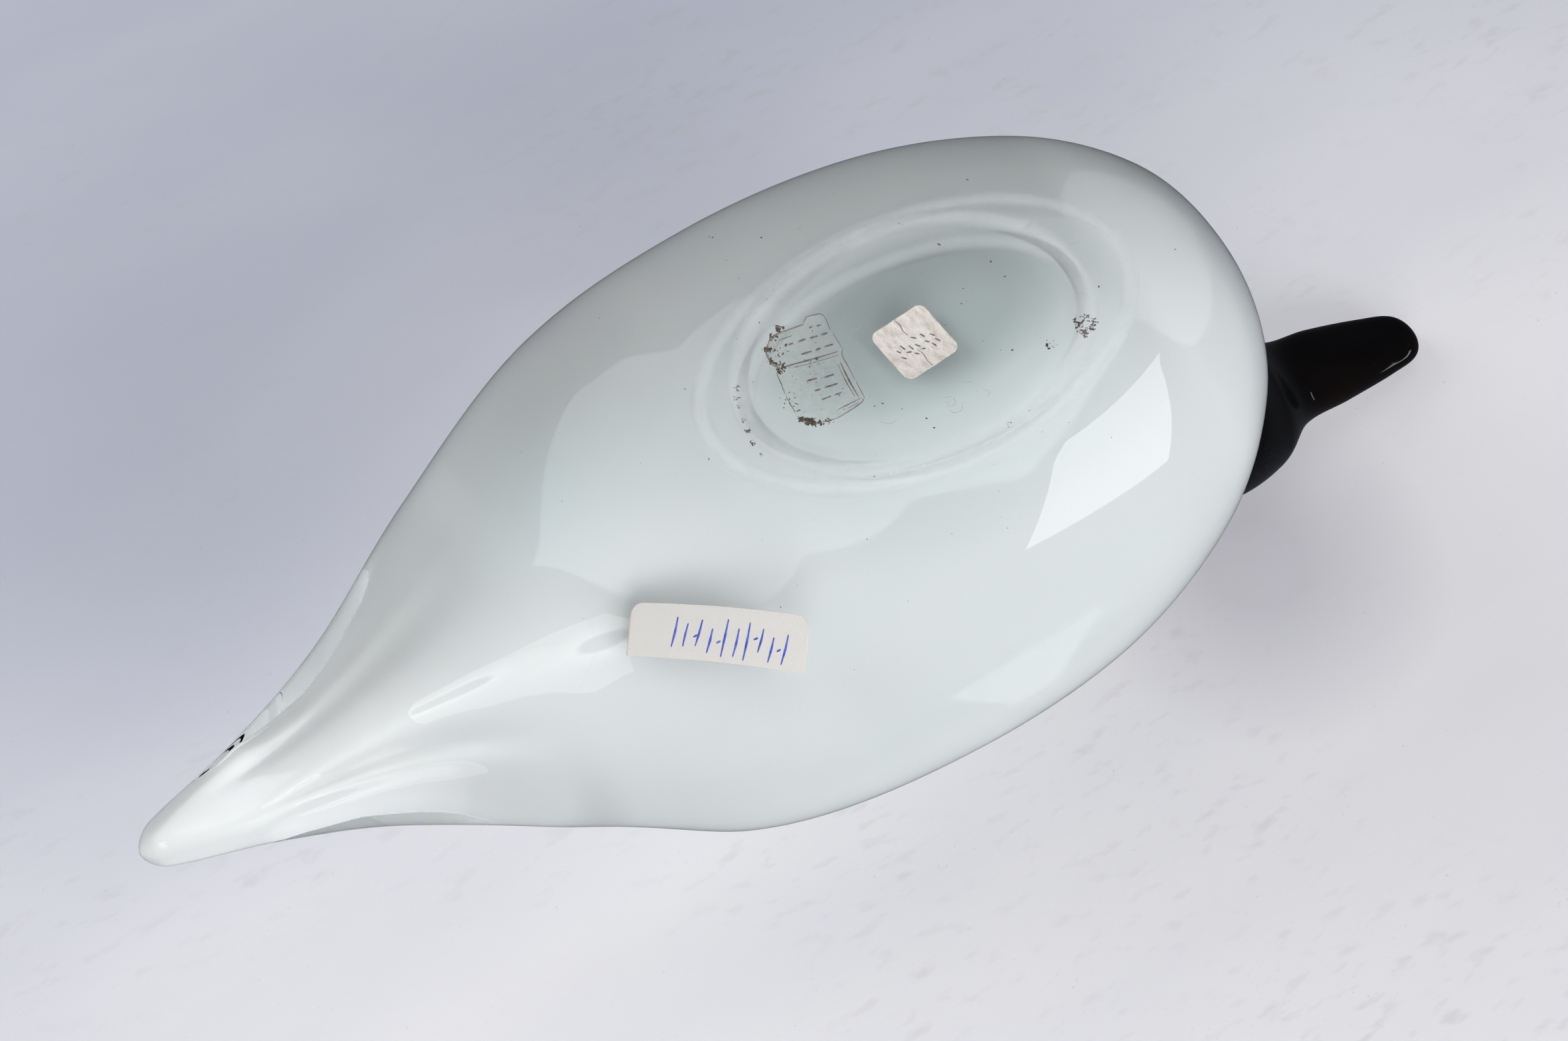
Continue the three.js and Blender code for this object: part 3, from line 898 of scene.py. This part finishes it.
# Moves, turns or stretches a pattern
def mapped(vector, location=(0, 0, 0), turn=(0, 0, 0), scale=(1, 1, 1), kind="POINT"):
    inputs = {"Vector": vector, "Location": location, "Rotation": turn, "Scale": scale}
    return put("Mapping", inputs, vector_type=kind).outputs[0]


# Group node with a named pattern, turned and squeezed as its row says; the row's other numbers are its inputs
def patterned(vector, group, keys, row):
    turn, squeeze, *numbers = row
    if turn or squeeze != (1, 1):
        vector = mapped(vector, turn=(0, 0, turn), scale=(*squeeze, 1))
    return put("Group", {"Vector": vector, **dict(zip(keys, numbers))}, node_tree=group).outputs


def drift(vector, name):
    return patterned(vector, driftGroup, driftKeys, drifts[name])


def specks(vector, name):
    return patterned(vector, specksGroup, ("Scale", "Size"), specksOf[name])[0]


# Roughness that a mask takes from one end to the other
def roughBy(mask, name):
    return mapRange(mask, 0, 1, *roughness[name])


# Finishes

finishes = {
    "opalWhite": (0.75, 0.765, 0.78, 1),
    "opalShade": (0.68, 0.72, 0.73, 1),
    # greener for the thick glass's tint, and darker by painted shade, over the foot
    "opalFootTintAndShade": (0.55, 0.61, 0.61, 1),
    # painted shade: a darker crescent in the foot's hollow
    "opalHollowPaintedShade": (0.44, 0.49, 0.495, 1),
    "opalTail": (0.83, 0.838, 0.85, 1),
    "opalValley": (0.67, 0.715, 0.73, 1),
    # painted shade at the breast
    "opalBreastPaintedShade": (0.59, 0.61, 0.635, 1),
    "glassTint": (0.965, 0.985, 0.98, 1),
    "glassShadow": (0.97, 0.985, 0.98, 1),
    "black": (0.0015, 0.0016, 0.002, 1),
    "blackWarm": (0.006, 0.0035, 0.003, 1),
    "paper": (0.60, 0.587, 0.567, 1),
    "paperEdge": (0.62, 0.58, 0.50, 1),
    "oldPaper": (0.79, 0.745, 0.69, 1),
    "oldPaperStain": (0.30, 0.24, 0.20, 1),
    "oldPaperClean": (0.80, 0.785, 0.75, 1),
    "film": (0.60, 0.66, 0.62, 1),
    "filmDirt": (0.20, 0.17, 0.13, 1),
    "ink": (0.02, 0.05, 0.38, 1),
    "inkThin": (0.10, 0.16, 0.52, 1),
    "print": (0.10, 0.085, 0.075, 1),
    "printWorn": (0.26, 0.24, 0.22, 1),
    # pale tone of the painted rim highlight
    "paintedRim": (0.82, 0.86, 0.87, 1),
    "dirt": (0.055, 0.040, 0.030, 1),
    "dirtBrown": (0.14, 0.11, 0.085, 1),
    "dirtPale": (0.26, 0.22, 0.18, 1),
    "floor": (0.97, 0.965, 1.0, 1),
    "floorShade": (0.60, 0.63, 0.74, 1),
    "grime": (0.58, 0.55, 0.60, 1),
    "unlit": (0, 0, 0, 1),
    "lamp": (1, 0.995, 0.99, 1),
    "worldFloor": (0.52, 0.52, 0.56, 1),
    "worldRoom": (0.125, 0.126, 0.137, 1),
    "worldMirrored": (0.066, 0.068, 0.08, 1),
    "worldDark": (0.03, 0.031, 0.035, 1),
    "worldThrough": (0.60, 0.60, 0.66, 1),
}


# Patterns: turn about z, squeeze along x and y, then scale, detail, where the mask starts and is full, bump
drifts = {
    "streak": (0, (0.35, 1), 22, 2, 0.35, 0.7, 0.15),
    "ripple": (0, (1, 1), 28, 1, 0.3, 0.7, 0.06),
    "scuff": (0.5, (1, 4), 420, 6, 0.5, 0.7, 0),
    "warm": (0, (0.5, 1), 45, 2, 0.45, 0.75, 0.05),
    "handled": (0, (1, 1), 160, 4, 0.45, 0.7, 0),
    "fibre": (0.63, (1, 2.5), 1500, 5, 0.3, 0.7, 0.25),
    "soil": (0, (1, 1), 300, 4, 0.3, 0.8, 0),
    "stain": (0, (1, 1.8), 14, 6, 0.42, 0.66, 0.3),
    "crease": (0.35, (1, 7), 30, 5, 0.6, 0.68, 0),
    "haze": (0, (1, 1), 9, 4, 0.35, 0.8, 0.05),
    # patchy noise along the painted rim highlight
    "rimHighlightPatches": (0, (1, 1), 320, 6, 0.25, 0.75, 0.1),
    "cloud": (0.6, (1, 3), 9, 4, 0.3, 0.7, 0),
    "grime": (0.7, (0.6, 1.6), 190, 12, 0.56, 0.72, 0),
    "patch": (0, (1, 1), 7, 3, 0.42, 0.66, 0),
}
# specks: turn, squeeze, scale and size
specksOf = {
    "handDust": (0, (1, 1), 900, 0.16),
    "grit": (0, (1, 3), 55, 0.42),
    "pale_floor": (0, (1, 1), 260, 0),
    "pale_backdrop": (0, (1, 1), 260, 0.12),
    "fine": (0.4, (0.6, 1), 620, 0.2),
}
roughness = {
    "opal": (0.3, 0.42),
    "black": (0.035, 0.075),
    "paper": (0.62, 0.8),
    "oldPaper": (0.6, 0.85),
    "film": (0.3, 0.5),
    "scuffed": 0.22,
    # roughness of the painted rim highlight
    "paintedRim": 0.6,
}
# how strongly each pattern shows in its colour
shows = {
    "streak": 0.6,
    "handDust": 0.35,
    "fibre": 0.18,
    "stain": 0.36,
    "clean": 0.6,
    "crease": 0.7,
    "creep": 0.5,
    "cloud": 0.14,
    "grime": 0.45,
    "fine": 0.4,
    "dust": 0.45,
}


# Zones of the opal: centre, radii, where the zone ends and where it is full as shares of them, and its colour
opalZones = [
    # greener for the thick glass's tint, and darker by painted shade, over the foot
    ((12, 0, 0), (66, 42, 30), 1.15, 0.35, "opalFootTintAndShade"),
    ((-150, 4, 48), (62, 40, 40), 1.0, 0.5, "opalTail"),
    ((-70, -14, 12), (42, 30, 30), 1.0, 0.2, "opalValley"),
    # painted shade: the breast darker
    ((92, 0, 30), (30, 70, 60), 1.0, 0.4, "opalBreastPaintedShade"),
    # painted shade: a darker crescent over the foot's hollow, heaviest towards -y
    ((18, -9, 8), (37, 22, 20), 1.05, 0.62, "opalHollowPaintedShade"),
]


# Where marks start and are full on the labels, in shares of their UV map's 40 mm, and how dense the film is
marksAt = {
    "tagEnd": (0.435, 0.455),
    "tagSide": (0.105, 0.119),
    "clean": (0.17, 0.17),
    "cleanEnds": (0.75, 0.25),
    "creepSide": (0.62, 0.72),
    "creepEnd": (0.42, 0.3),
    "filmAlpha": (0.05, 0.17),
}


def inMetres(point):
    return tuple(v * mm for v in point)


# Opal core: white with slow streaks along the body, greener over the foot for the thick glass's tint, with
# painted shade over the foot, its hollow and the breast; light sinks in a little
def opalMaterial():
    mat = newMaterial("opal_white")
    place = objectPlace()
    streak = drift(place, "streak")
    share = times(streak["Mask"], shows["streak"])
    colour = mixColour(share, "opalWhite", "opalShade")
    for centre, radii, end, full, tone in opalZones:
        zone = mapped(place, inMetres(centre), scale=inMetres(radii), kind="TEXTURE")
        share = mapRange(vectorMaths("LENGTH", zone), end, full)
        colour = mixColour(share, colour, tone)
    more = {"Subsurface Weight": 0.25, "Subsurface Radius": (1, 1, 1), "Subsurface Scale": 4 * mm}
    return principled(mat, colour, roughBy(streak["Mask"], "opal"), streak["Normal"], more)


# Clear casing: glass with a slow ripple, duller on the rim it stands on; shadow rays pass through it
def casingMaterial():
    mat = newMaterial("clear_casing")
    place = objectPlace()
    normal = drift(place, "ripple")["Normal"]
    height = put("SeparateXYZ", {0: place}).outputs["Z"]
    rim = mapRange(height, 0.6 * mm, 0.1 * mm)
    rough = times(times(rim, drift(place, "scuff")["Mask"]), roughness["scuffed"])
    inputs = {"Base Color": finishes["glassTint"], "Roughness": rough, "IOR": 1.47, "Normal": normal}
    shader = put("BsdfPrincipled", {"Transmission Weight": 1.0, **inputs})
    clear = put("BsdfTransparent", {0: finishes["glassShadow"]})
    shadow = put("LightPath").outputs["Is Shadow Ray"]
    mix = put("MixShader", {0: shadow, 1: shader.outputs[0], 2: clear.outputs[0]})
    return finishMaterial(mat, mix.outputs[0])


# Black glass: near black with faint warm drifts, glossy, and a touch duller where it has been handled
def blackMaterial():
    mat = newMaterial("black_glass")
    place = objectPlace()
    warm = drift(place, "warm")
    dust = times(specks(place, "handDust"), shows["handDust"])
    colour = mixColour(warm["Mask"], "black", "blackWarm")
    colour = mixColour(dust, colour, "dirtPale")
    rough = roughBy(drift(place, "handled")["Mask"], "black")
    return principled(mat, colour, rough, warm["Normal"], {"IOR": 1.5})


# How far a label's own x or y lies from its middle, as a share of the 40 mm of its UV map
def fromMiddle(own, axis):
    split = put("SeparateXYZ", {0: own}).outputs[axis]
    return maths("ABSOLUTE", maths("SUBTRACT", split, 0.5))


def ownPlace():
    return put("UVMap", uv_map="place").outputs[0]


# Paper: off-white fibres, soiled along its ends and sides
def paperMaterial():
    mat = newMaterial("tag_paper")
    place, own = objectPlace(), ownPlace()
    fibre = drift(place, "fibre")
    nearEnd = mapRange(fromMiddle(own, "X"), *marksAt["tagEnd"])
    nearSide = mapRange(fromMiddle(own, "Y"), *marksAt["tagSide"])
    edge = times(maths("MAXIMUM", nearEnd, nearSide), drift(place, "soil")["Mask"])
    share = times(fibre["Mask"], shows["fibre"])
    colour = mixColour(share, "paper", "paperEdge")
    colour = mixColour(edge, colour, "paperEdge")
    return principled(mat, colour, roughBy(fibre["Mask"], "paper"), fibre["Normal"])


# Old paper: cream, stained brown in patches and short dark creases, cleaner round its middle
def oldPaperMaterial():
    mat = newMaterial("old_paper")
    own = ownPlace()
    stain = drift(own, "stain")
    dark = maths("MAXIMUM", drift(own, "crease")["Mask"], specks(own, "grit"))
    middle = mapped(own, (0.5, 0.5, 0), scale=(*marksAt["clean"], 1), kind="TEXTURE")
    clean = mapRange(vectorMaths("LENGTH", middle), *marksAt["cleanEnds"])
    share = times(stain["Mask"], shows["stain"])
    colour = mixColour(share, "oldPaper", "oldPaperStain")
    colour = mixColour(times(clean, shows["clean"]), colour, "oldPaperClean")
    colour = mixColour(times(dark, shows["crease"]), colour, "oldPaperStain")
    return principled(mat, colour, roughBy(stain["Mask"], "oldPaper"), stain["Normal"])


# Film: nearly clear, cloudier and brown where dirt has crept under its edge
def filmMaterial():
    mat = newMaterial("worn_film")
    own = ownPlace()
    haze = drift(own, "haze")
    split = put("SeparateXYZ", {0: own}).outputs
    side = mapRange(split["Y"], *marksAt["creepSide"])
    far = mapRange(split["X"], *marksAt["creepEnd"])
    creep = times(times(side, far), haze["Mask"])
    colour = mixColour(creep, "film", "filmDirt")
    cloudy = mapRange(haze["Mask"], 0, 1, *marksAt["filmAlpha"])
    alpha = maths("ADD", cloudy, times(creep, shows["creep"]), clamp=True)
    rough = roughBy(haze["Mask"], "film")
    return principled(mat, colour, rough, haze["Normal"], {"Alpha": alpha})


# Two colours drifting into each other at a fine scale, for ink, print and dirt
def flatMaterial(name, colourA, colourB, scale, rough):
    mat = newMaterial(name)
    drifts[name] = (0, (1, 1), scale, 4, 0.35, 0.65, 0.2)
    roughness[name] = (rough, rough + 0.15)
    grain = drift(objectPlace(), name)
    colour = mixColour(grain["Mask"], colourA, colourB)
    return principled(mat, colour, roughBy(grain["Mask"], name), grain["Normal"])


# Painted rim highlight: pale and dull, as thin as its "soft" attribute and a fine noise along it let it be
def rimHighlightMaterial():
    mat = newMaterial("painted_rim_highlight")
    soft = put("Attribute", attribute_name="soft").outputs["Fac"]
    rimHighlightPatches = drift(objectPlace(), "rimHighlightPatches")
    patchy = mapRange(rimHighlightPatches["Mask"], 0, 1, 0.8, 1.0)
    alpha = times(times(soft, patchy), rimHighlightBands["alpha"])
    return principled(mat, finishes["paintedRim"], roughness["paintedRim"], rimHighlightPatches["Normal"], {"Alpha": alpha})


def wearing(mat, *objects):
    for obj in objects:
        obj.data.materials.append(mat)


wearing(opalMaterial(), opalCore)
wearing(casingMaterial(), glassBody)
wearing(blackMaterial(), blackHead)
wearing(rimHighlightMaterial(), rimHighlightPiece)
wearing(paperMaterial(), tagPaper)
wearing(oldPaperMaterial(), tagSquare)
wearing(filmMaterial(), labelFilm)
wearing(flatMaterial("pen_ink", "ink", "inkThin", 900, 0.5), tagInk)
wearing(flatMaterial("dark_print", "print", "printWorn", 1100, 0.6), squareMarks, filmRules, squareSlits)
wearing(flatMaterial("film_edge", "dirtBrown", "dirtPale", 700, 0.7), filmEdge)
wearing(flatMaterial("dirt", "dirt", "dirtBrown", 1400, 0.75), footDirt, labelDirt)
wearing(flatMaterial("pale_scratch", "dirtPale", "film", 900, 0.5), scratches, hairs)
print("materials made")


# Stage

stage = {
    # how much of its colour each sheet takes, how much the floor is shaded, and the backdrop's glow
    "floorLevel": 0.5,
    "backdropLevel": 0.88,
    "shaded": 0.25,
    "backdropGlow": 0.73,
    # painted shade on the backdrop, lighter from one corner to the other: direction, where along it, in
    # metres, and its shading
    "paintedShadeWay": (0.05, 0.99, 0.0),
    "paintedShadeEnds": (-0.17, 0.03, 0.9, 0.0),
    # two painted shadows on it, in metres: place, where it ends and is full, its strength there, and its
    # colour
    "spots": [
        # painted shade at the left
        ((-0.135, -0.115, 0.130), (0.11, 0.02, 0.0, 0.55), (0.50, 0.53, 0.64, 1)),
        # painted contact shadow beside the head and breast
        ((0.102, 0.034, 0.130), (0.05, 0.012, 0.0, 1.0), (0.70, 0.69, 0.75, 1)),
    ],
    # dish, in metres: flat radii, the bend's radius and the wall's height
    "dishFlat": (0.3, 1.0, 1.8),
    "dishBend": 1.4,
    "dishWall": 4.0,
    # backdrop: height, how much it leans along x and y, half its size in metres and its points along a side
    "backdropZ": 131.5,
    "backdropLean": (-0.01, 0.01),
    "backdropHalf": 1.2,
    "backdropPoints": 9,
    "worldNormal": (0.09, -0.213, -0.973),
    # how far along that direction the world changes, as it lights and as it shows through glass
    "worldEnds": (-0.75, 0.15),
    "throughEnds": (-0.85, -0.35),
}


# Pale floor that only the camera sees, and only on its front, with a cloud drawn out across it; the backdrop
# has painted shade along one way and two painted shadows, glows a little, is dirtier in patches; other rays
# go through both
def floorMaterial(name, level, isBackdrop):
    mat = newMaterial(name)
    place = objectPlace()
    shade = stage["shaded"]
    if isBackdrop:
        # painted shade along one way
        shade = mapRange(vectorMaths("DOT_PRODUCT", place, stage["paintedShadeWay"]), *stage["paintedShadeEnds"])
    cloud = times(drift(place, "cloud")["Mask"], shows["cloud"])
    colour = mixColour(maths("ADD", shade, cloud, clamp=True), "floor", "floorShade")
    if isBackdrop:
        # painted shadows
        for spot, ends, tone in stage["spots"]:
            span = vectorMaths("DISTANCE", place, spot)
            colour = mixColour(mapRange(span, *ends), colour, tone)
        grime = times(drift(place, "grime")["Mask"], drift(place, "patch")["Mask"])
        for share, key in ((grime, "grime"), (specks(place, "fine"), "fine")):
            colour = mixColour(times(share, shows[key]), colour, "grime")
    dust = times(specks(place, name), shows["dust"])
    colour = mixColour(dust, colour, "dirtPale")
    surface = put("BsdfDiffuse", {0: mixColour(level, "unlit", colour)}).outputs[0]
    if isBackdrop:
        glow = put("Emission", {0: colour, 1: stage["backdropGlow"]}).outputs[0]
        surface = put("MixShader", {0: 0.5, 1: surface, 2: glow}).outputs[0]
    clear = put("BsdfTransparent").outputs[0]
    seen = times(put("LightPath").outputs["Is Camera Ray"], front())
    mix = put("MixShader", {0: seen, 1: clear, 2: surface})
    return finishMaterial(mat, mix.outputs[0])


def front():
    return maths("SUBTRACT", 1.0, put("NewGeometry").outputs["Backfacing"])


# Dish: a flat floor that curves up into a wall, turned round the z axis
def makeFloor():
    bend = np.linspace(0, math.pi / 2, 24)
    flat, turn = stage["dishFlat"], stage["dishBend"]
    r = np.concatenate([flat, flat[-1] + turn * np.sin(bend[1:]), [flat[-1] + turn]])
    z = np.concatenate([[0, 0, 0], turn - turn * np.cos(bend[1:]), [stage["dishWall"]]])
    a = -fullTurn(96)
    rings = np.stack([r[:, None] * np.cos(a), r[:, None] * np.sin(a), z[:, None] + 0 * a], -1)
    return ringMesh("floor", rings, firstTip=[0, 0, 0])


# Backdrop behind the upturned duck: a sheet just above the crown that faces down and leans off the level
def makeBackdrop():
    n, half = stage["backdropPoints"], stage["backdropHalf"]
    x, y = np.meshgrid(np.linspace(-half, half, n), np.linspace(-half, half, n), indexing="ij")
    z = stage["backdropZ"] * mm + stage["backdropLean"][0] * x + stage["backdropLean"][1] * y
    i, j = np.meshgrid(np.arange(n - 1), np.arange(n - 1), indexing="ij")
    a = (i * n + j).ravel()
    quads = np.stack([a, a + 1, a + n + 1, a + n], -1)
    return meshObject("backdrop", np.stack([x, y, z], -1).reshape(-1, 3), quads.tolist())


floor, backdrop = makeFloor(), makeBackdrop()
wearing(floorMaterial("pale_floor", stage["floorLevel"], False), floor)
wearing(floorMaterial("pale_backdrop", stage["backdropLevel"], True), backdrop)


umbrella = {
    # its face: a middle, and two directions in it along which its outline is given
    "middle": (-785, 240, -661),
    "across": (0.69, 0, -0.73),
    "along": (0.13, 1, 0.12),
    # outline of the lit cloth, in mm along both directions
    "outline": [
        (-100, -200), (-45, -275), (-15, -270), (40, -235), (190, -170), (190, -55),
        (25, 260), (-95, 290), (-110, 145), (-175, 145), (-165, 85),
    ],
    # dark spots of the lamp head and its stand: place, size, and how many spokes run round it
    "stands": [((-710, 235, -740), 66, 9), ((-850, 80, -635), 48, 0)],
    "glow": 1.65,
    # spot: from which share of its size it fades and how dark it is; its halo's reach and brightness
    "dark": (0.7, 0.08),
    "halo": (2.4, 2.1),
    # spoke: half widths in metres where it is full and where it ends, and how bright it is there
    "spoke": (0.006, 0.016, 0.72, 1.0),
}
softbox = {
    "corners": [(840, 190, -750), (855, 480, -555), (830, 760, -280), (325, 900, -610), (480, 330, -950)],
    "glow": 4.0,
}
billLamp = {"corners": [(300, 100, 103), (300, 52, 79), (322, 52, 79), (322, 100, 103)], "glow": 3.0}


# How bright a lamp sheet is round its stands: dark in the middle, with a halo and thin spokes round it
def standShade(glow, place, size, spokes):
    away = vectorMaths("SUBTRACT", objectPlace(), inMetres(place))
    span, size = vectorMaths("LENGTH", away), size * mm
    fade, dark = umbrella["dark"]
    reach, bright = umbrella["halo"]
    glow = times(glow, mapRange(span, size, size * reach, bright, 1.0))
    glow = times(glow, mapRange(span, size * fade, size, dark, 1.0))
    if not spokes:
        return glow
    flat = [vectorMaths("DOT_PRODUCT", away, axis) for axis in (umbrella["across"], (0, 1, 0))]
    turn = times(maths("ARCTAN2", *flat), spokes / 2)
    beside = times(maths("ABSOLUTE", maths("SINE", turn)), span)
    return times(glow, mapRange(beside, *umbrella["spoke"]))


# Lamp sheet: a polygon that glows on its front only
def lampSheet(name, corners, glow, stands=()):
    c = np.array(corners, float) * mm
    k = len(c)
    obj = meshObject(name, np.vstack([c, c.mean(0)]), [[j, (j + 1) % k, k] for j in range(k)])
    mat = newMaterial(name + "_glow")
    strength = times(front(), glow)
    for place, size, spokes in stands:
        strength = standShade(strength, place, size, spokes)
    light = put("Emission", {0: finishes["lamp"], 1: strength})
    wearing(finishMaterial(mat, light.outputs[0]), obj)
    obj.visible_diffuse = False
    obj.visible_camera = False


cloth = umbrella["middle"] + np.array(umbrella["outline"]) @ [umbrella["across"], umbrella["along"]]
lampSheet("softbox", softbox["corners"], softbox["glow"])
lampSheet("umbrella", cloth, umbrella["glow"], umbrella["stands"])
lampSheet("bill_lamp", billLamp["corners"], billLamp["glow"])

# soft lamps round the duck: place and size in metres, and glow; each looks at a point over the foot
softLamps = {
    "overhead": ((0.05, 0.1, 1.5), 1.1, 4.6),
    "side_left": ((-0.9, -1.1, 1.0), 0.7, 3.6),
    "side_right": ((0.9, 1.2, 1.0), 0.7, 4.4),
    "window": ((0.35, -0.53, 1.25), 0.34, 4.5),
    "below_left": ((-0.95, -0.92, -0.76), 1.0, 4.5),
    "below_right": ((0.18, -0.40, -1.37), 1.0, 1.2),
    "below_breast": ((0.64, 0.95, -0.91), 0.5, 4.0),
    "low_flank": ((0.50, 1.27, -0.54), 0.8, 7.0),
    "low_tail": ((-0.60, 1.22, -0.54), 0.8, 5.6),
}
lampsLookAt = (0, 0, 0.06)


# Square lamp that faces away from its axis z; only the window shows as a highlight
def softLamp(name, place, size, glow):
    lamp = bpy.data.lights.new(name, "AREA")
    lamp.shape = "SQUARE"
    lamp.size = size
    lamp.energy = glow * math.pi * size**2
    z = np.subtract(place, lampsLookAt)
    z /= np.linalg.norm(z)
    x = np.cross([0.01, 1, 0.02], z)
    x /= np.linalg.norm(x)
    obj = placed(name, lamp, (x, np.cross(z, x), z), place)
    obj.visible_glossy = name == "window"
    obj.visible_transmission = False
    obj.visible_camera = False


# New object for a lamp or camera, with its three axes and its place in metres
def placed(name, data, axes, place):
    obj = bpy.data.objects.new(name, data)
    bpy.context.scene.collection.objects.link(obj)
    turn = np.eye(4)
    turn[:3, :3] = np.transpose(axes)
    turn[:3, 3] = place
    obj.matrix_world = Matrix(turn.tolist())
    return obj


for name, (place, size, glow) in softLamps.items():
    softLamp(name, place, size, glow)


# World: paler towards the side that the duck lies on in the studio, and as pale as that floor through glass
def makeWorld():
    world = bpy.data.worlds.new("studio")
    world.use_nodes = True
    startTree(world.node_tree)
    way = put("TexCoord").outputs["Generated"]
    over = vectorMaths("DOT_PRODUCT", way, stage["worldNormal"])
    share = mapRange(over, *stage["worldEnds"])
    path = put("LightPath").outputs
    lit = mixColour(share, "worldFloor", "worldRoom")
    mirrored = mixColour(share, "worldMirrored", "worldDark")
    colour = mixColour(path["Is Glossy Ray"], lit, mirrored)
    through = times(path["Is Transmission Ray"], maths("LESS_THAN", path["Diffuse Depth"], 0.5))
    seen = mixColour(mapRange(over, *stage["throughEnds"]), "worldThrough", "worldRoom")
    back = put("Background", {0: mixColour(through, colour, seen), 1: 1.0})
    put("OutputWorld", {"Surface": back.outputs[0]})
    bpy.context.scene.world = world


makeWorld()


# Camera

camera = {
    # place and the point that it looks at, turn about its view in degrees, lens and sensor, sight in metres
    "place": (-185.7, 253.2, -516),
    "aim": (-33.6, 23.5, 0),
    "roll": -176.33,
    "lens": 66.94,
    "sensor": 36,
    "sight": (0.01, 50),
}


def makeCamera():
    data = bpy.data.cameras.new("camera")
    data.lens = camera["lens"]
    data.sensor_width = camera["sensor"]
    data.sensor_fit = "HORIZONTAL"
    data.clip_start, data.clip_end = camera["sight"]
    forward = np.subtract(camera["aim"], camera["place"])
    forward /= np.linalg.norm(forward)
    side = np.cross(forward, [0, 0, 1])
    side /= np.linalg.norm(side)
    roll = math.radians(camera["roll"])
    right = math.cos(roll) * side + math.sin(roll) * np.cross(side, forward)
    obj = placed("camera", data, (right, np.cross(right, forward), -forward), inMetres(camera["place"]))
    bpy.context.scene.camera = obj


makeCamera()
bpy.context.scene.view_settings.view_transform = "Standard"
print("stage set")
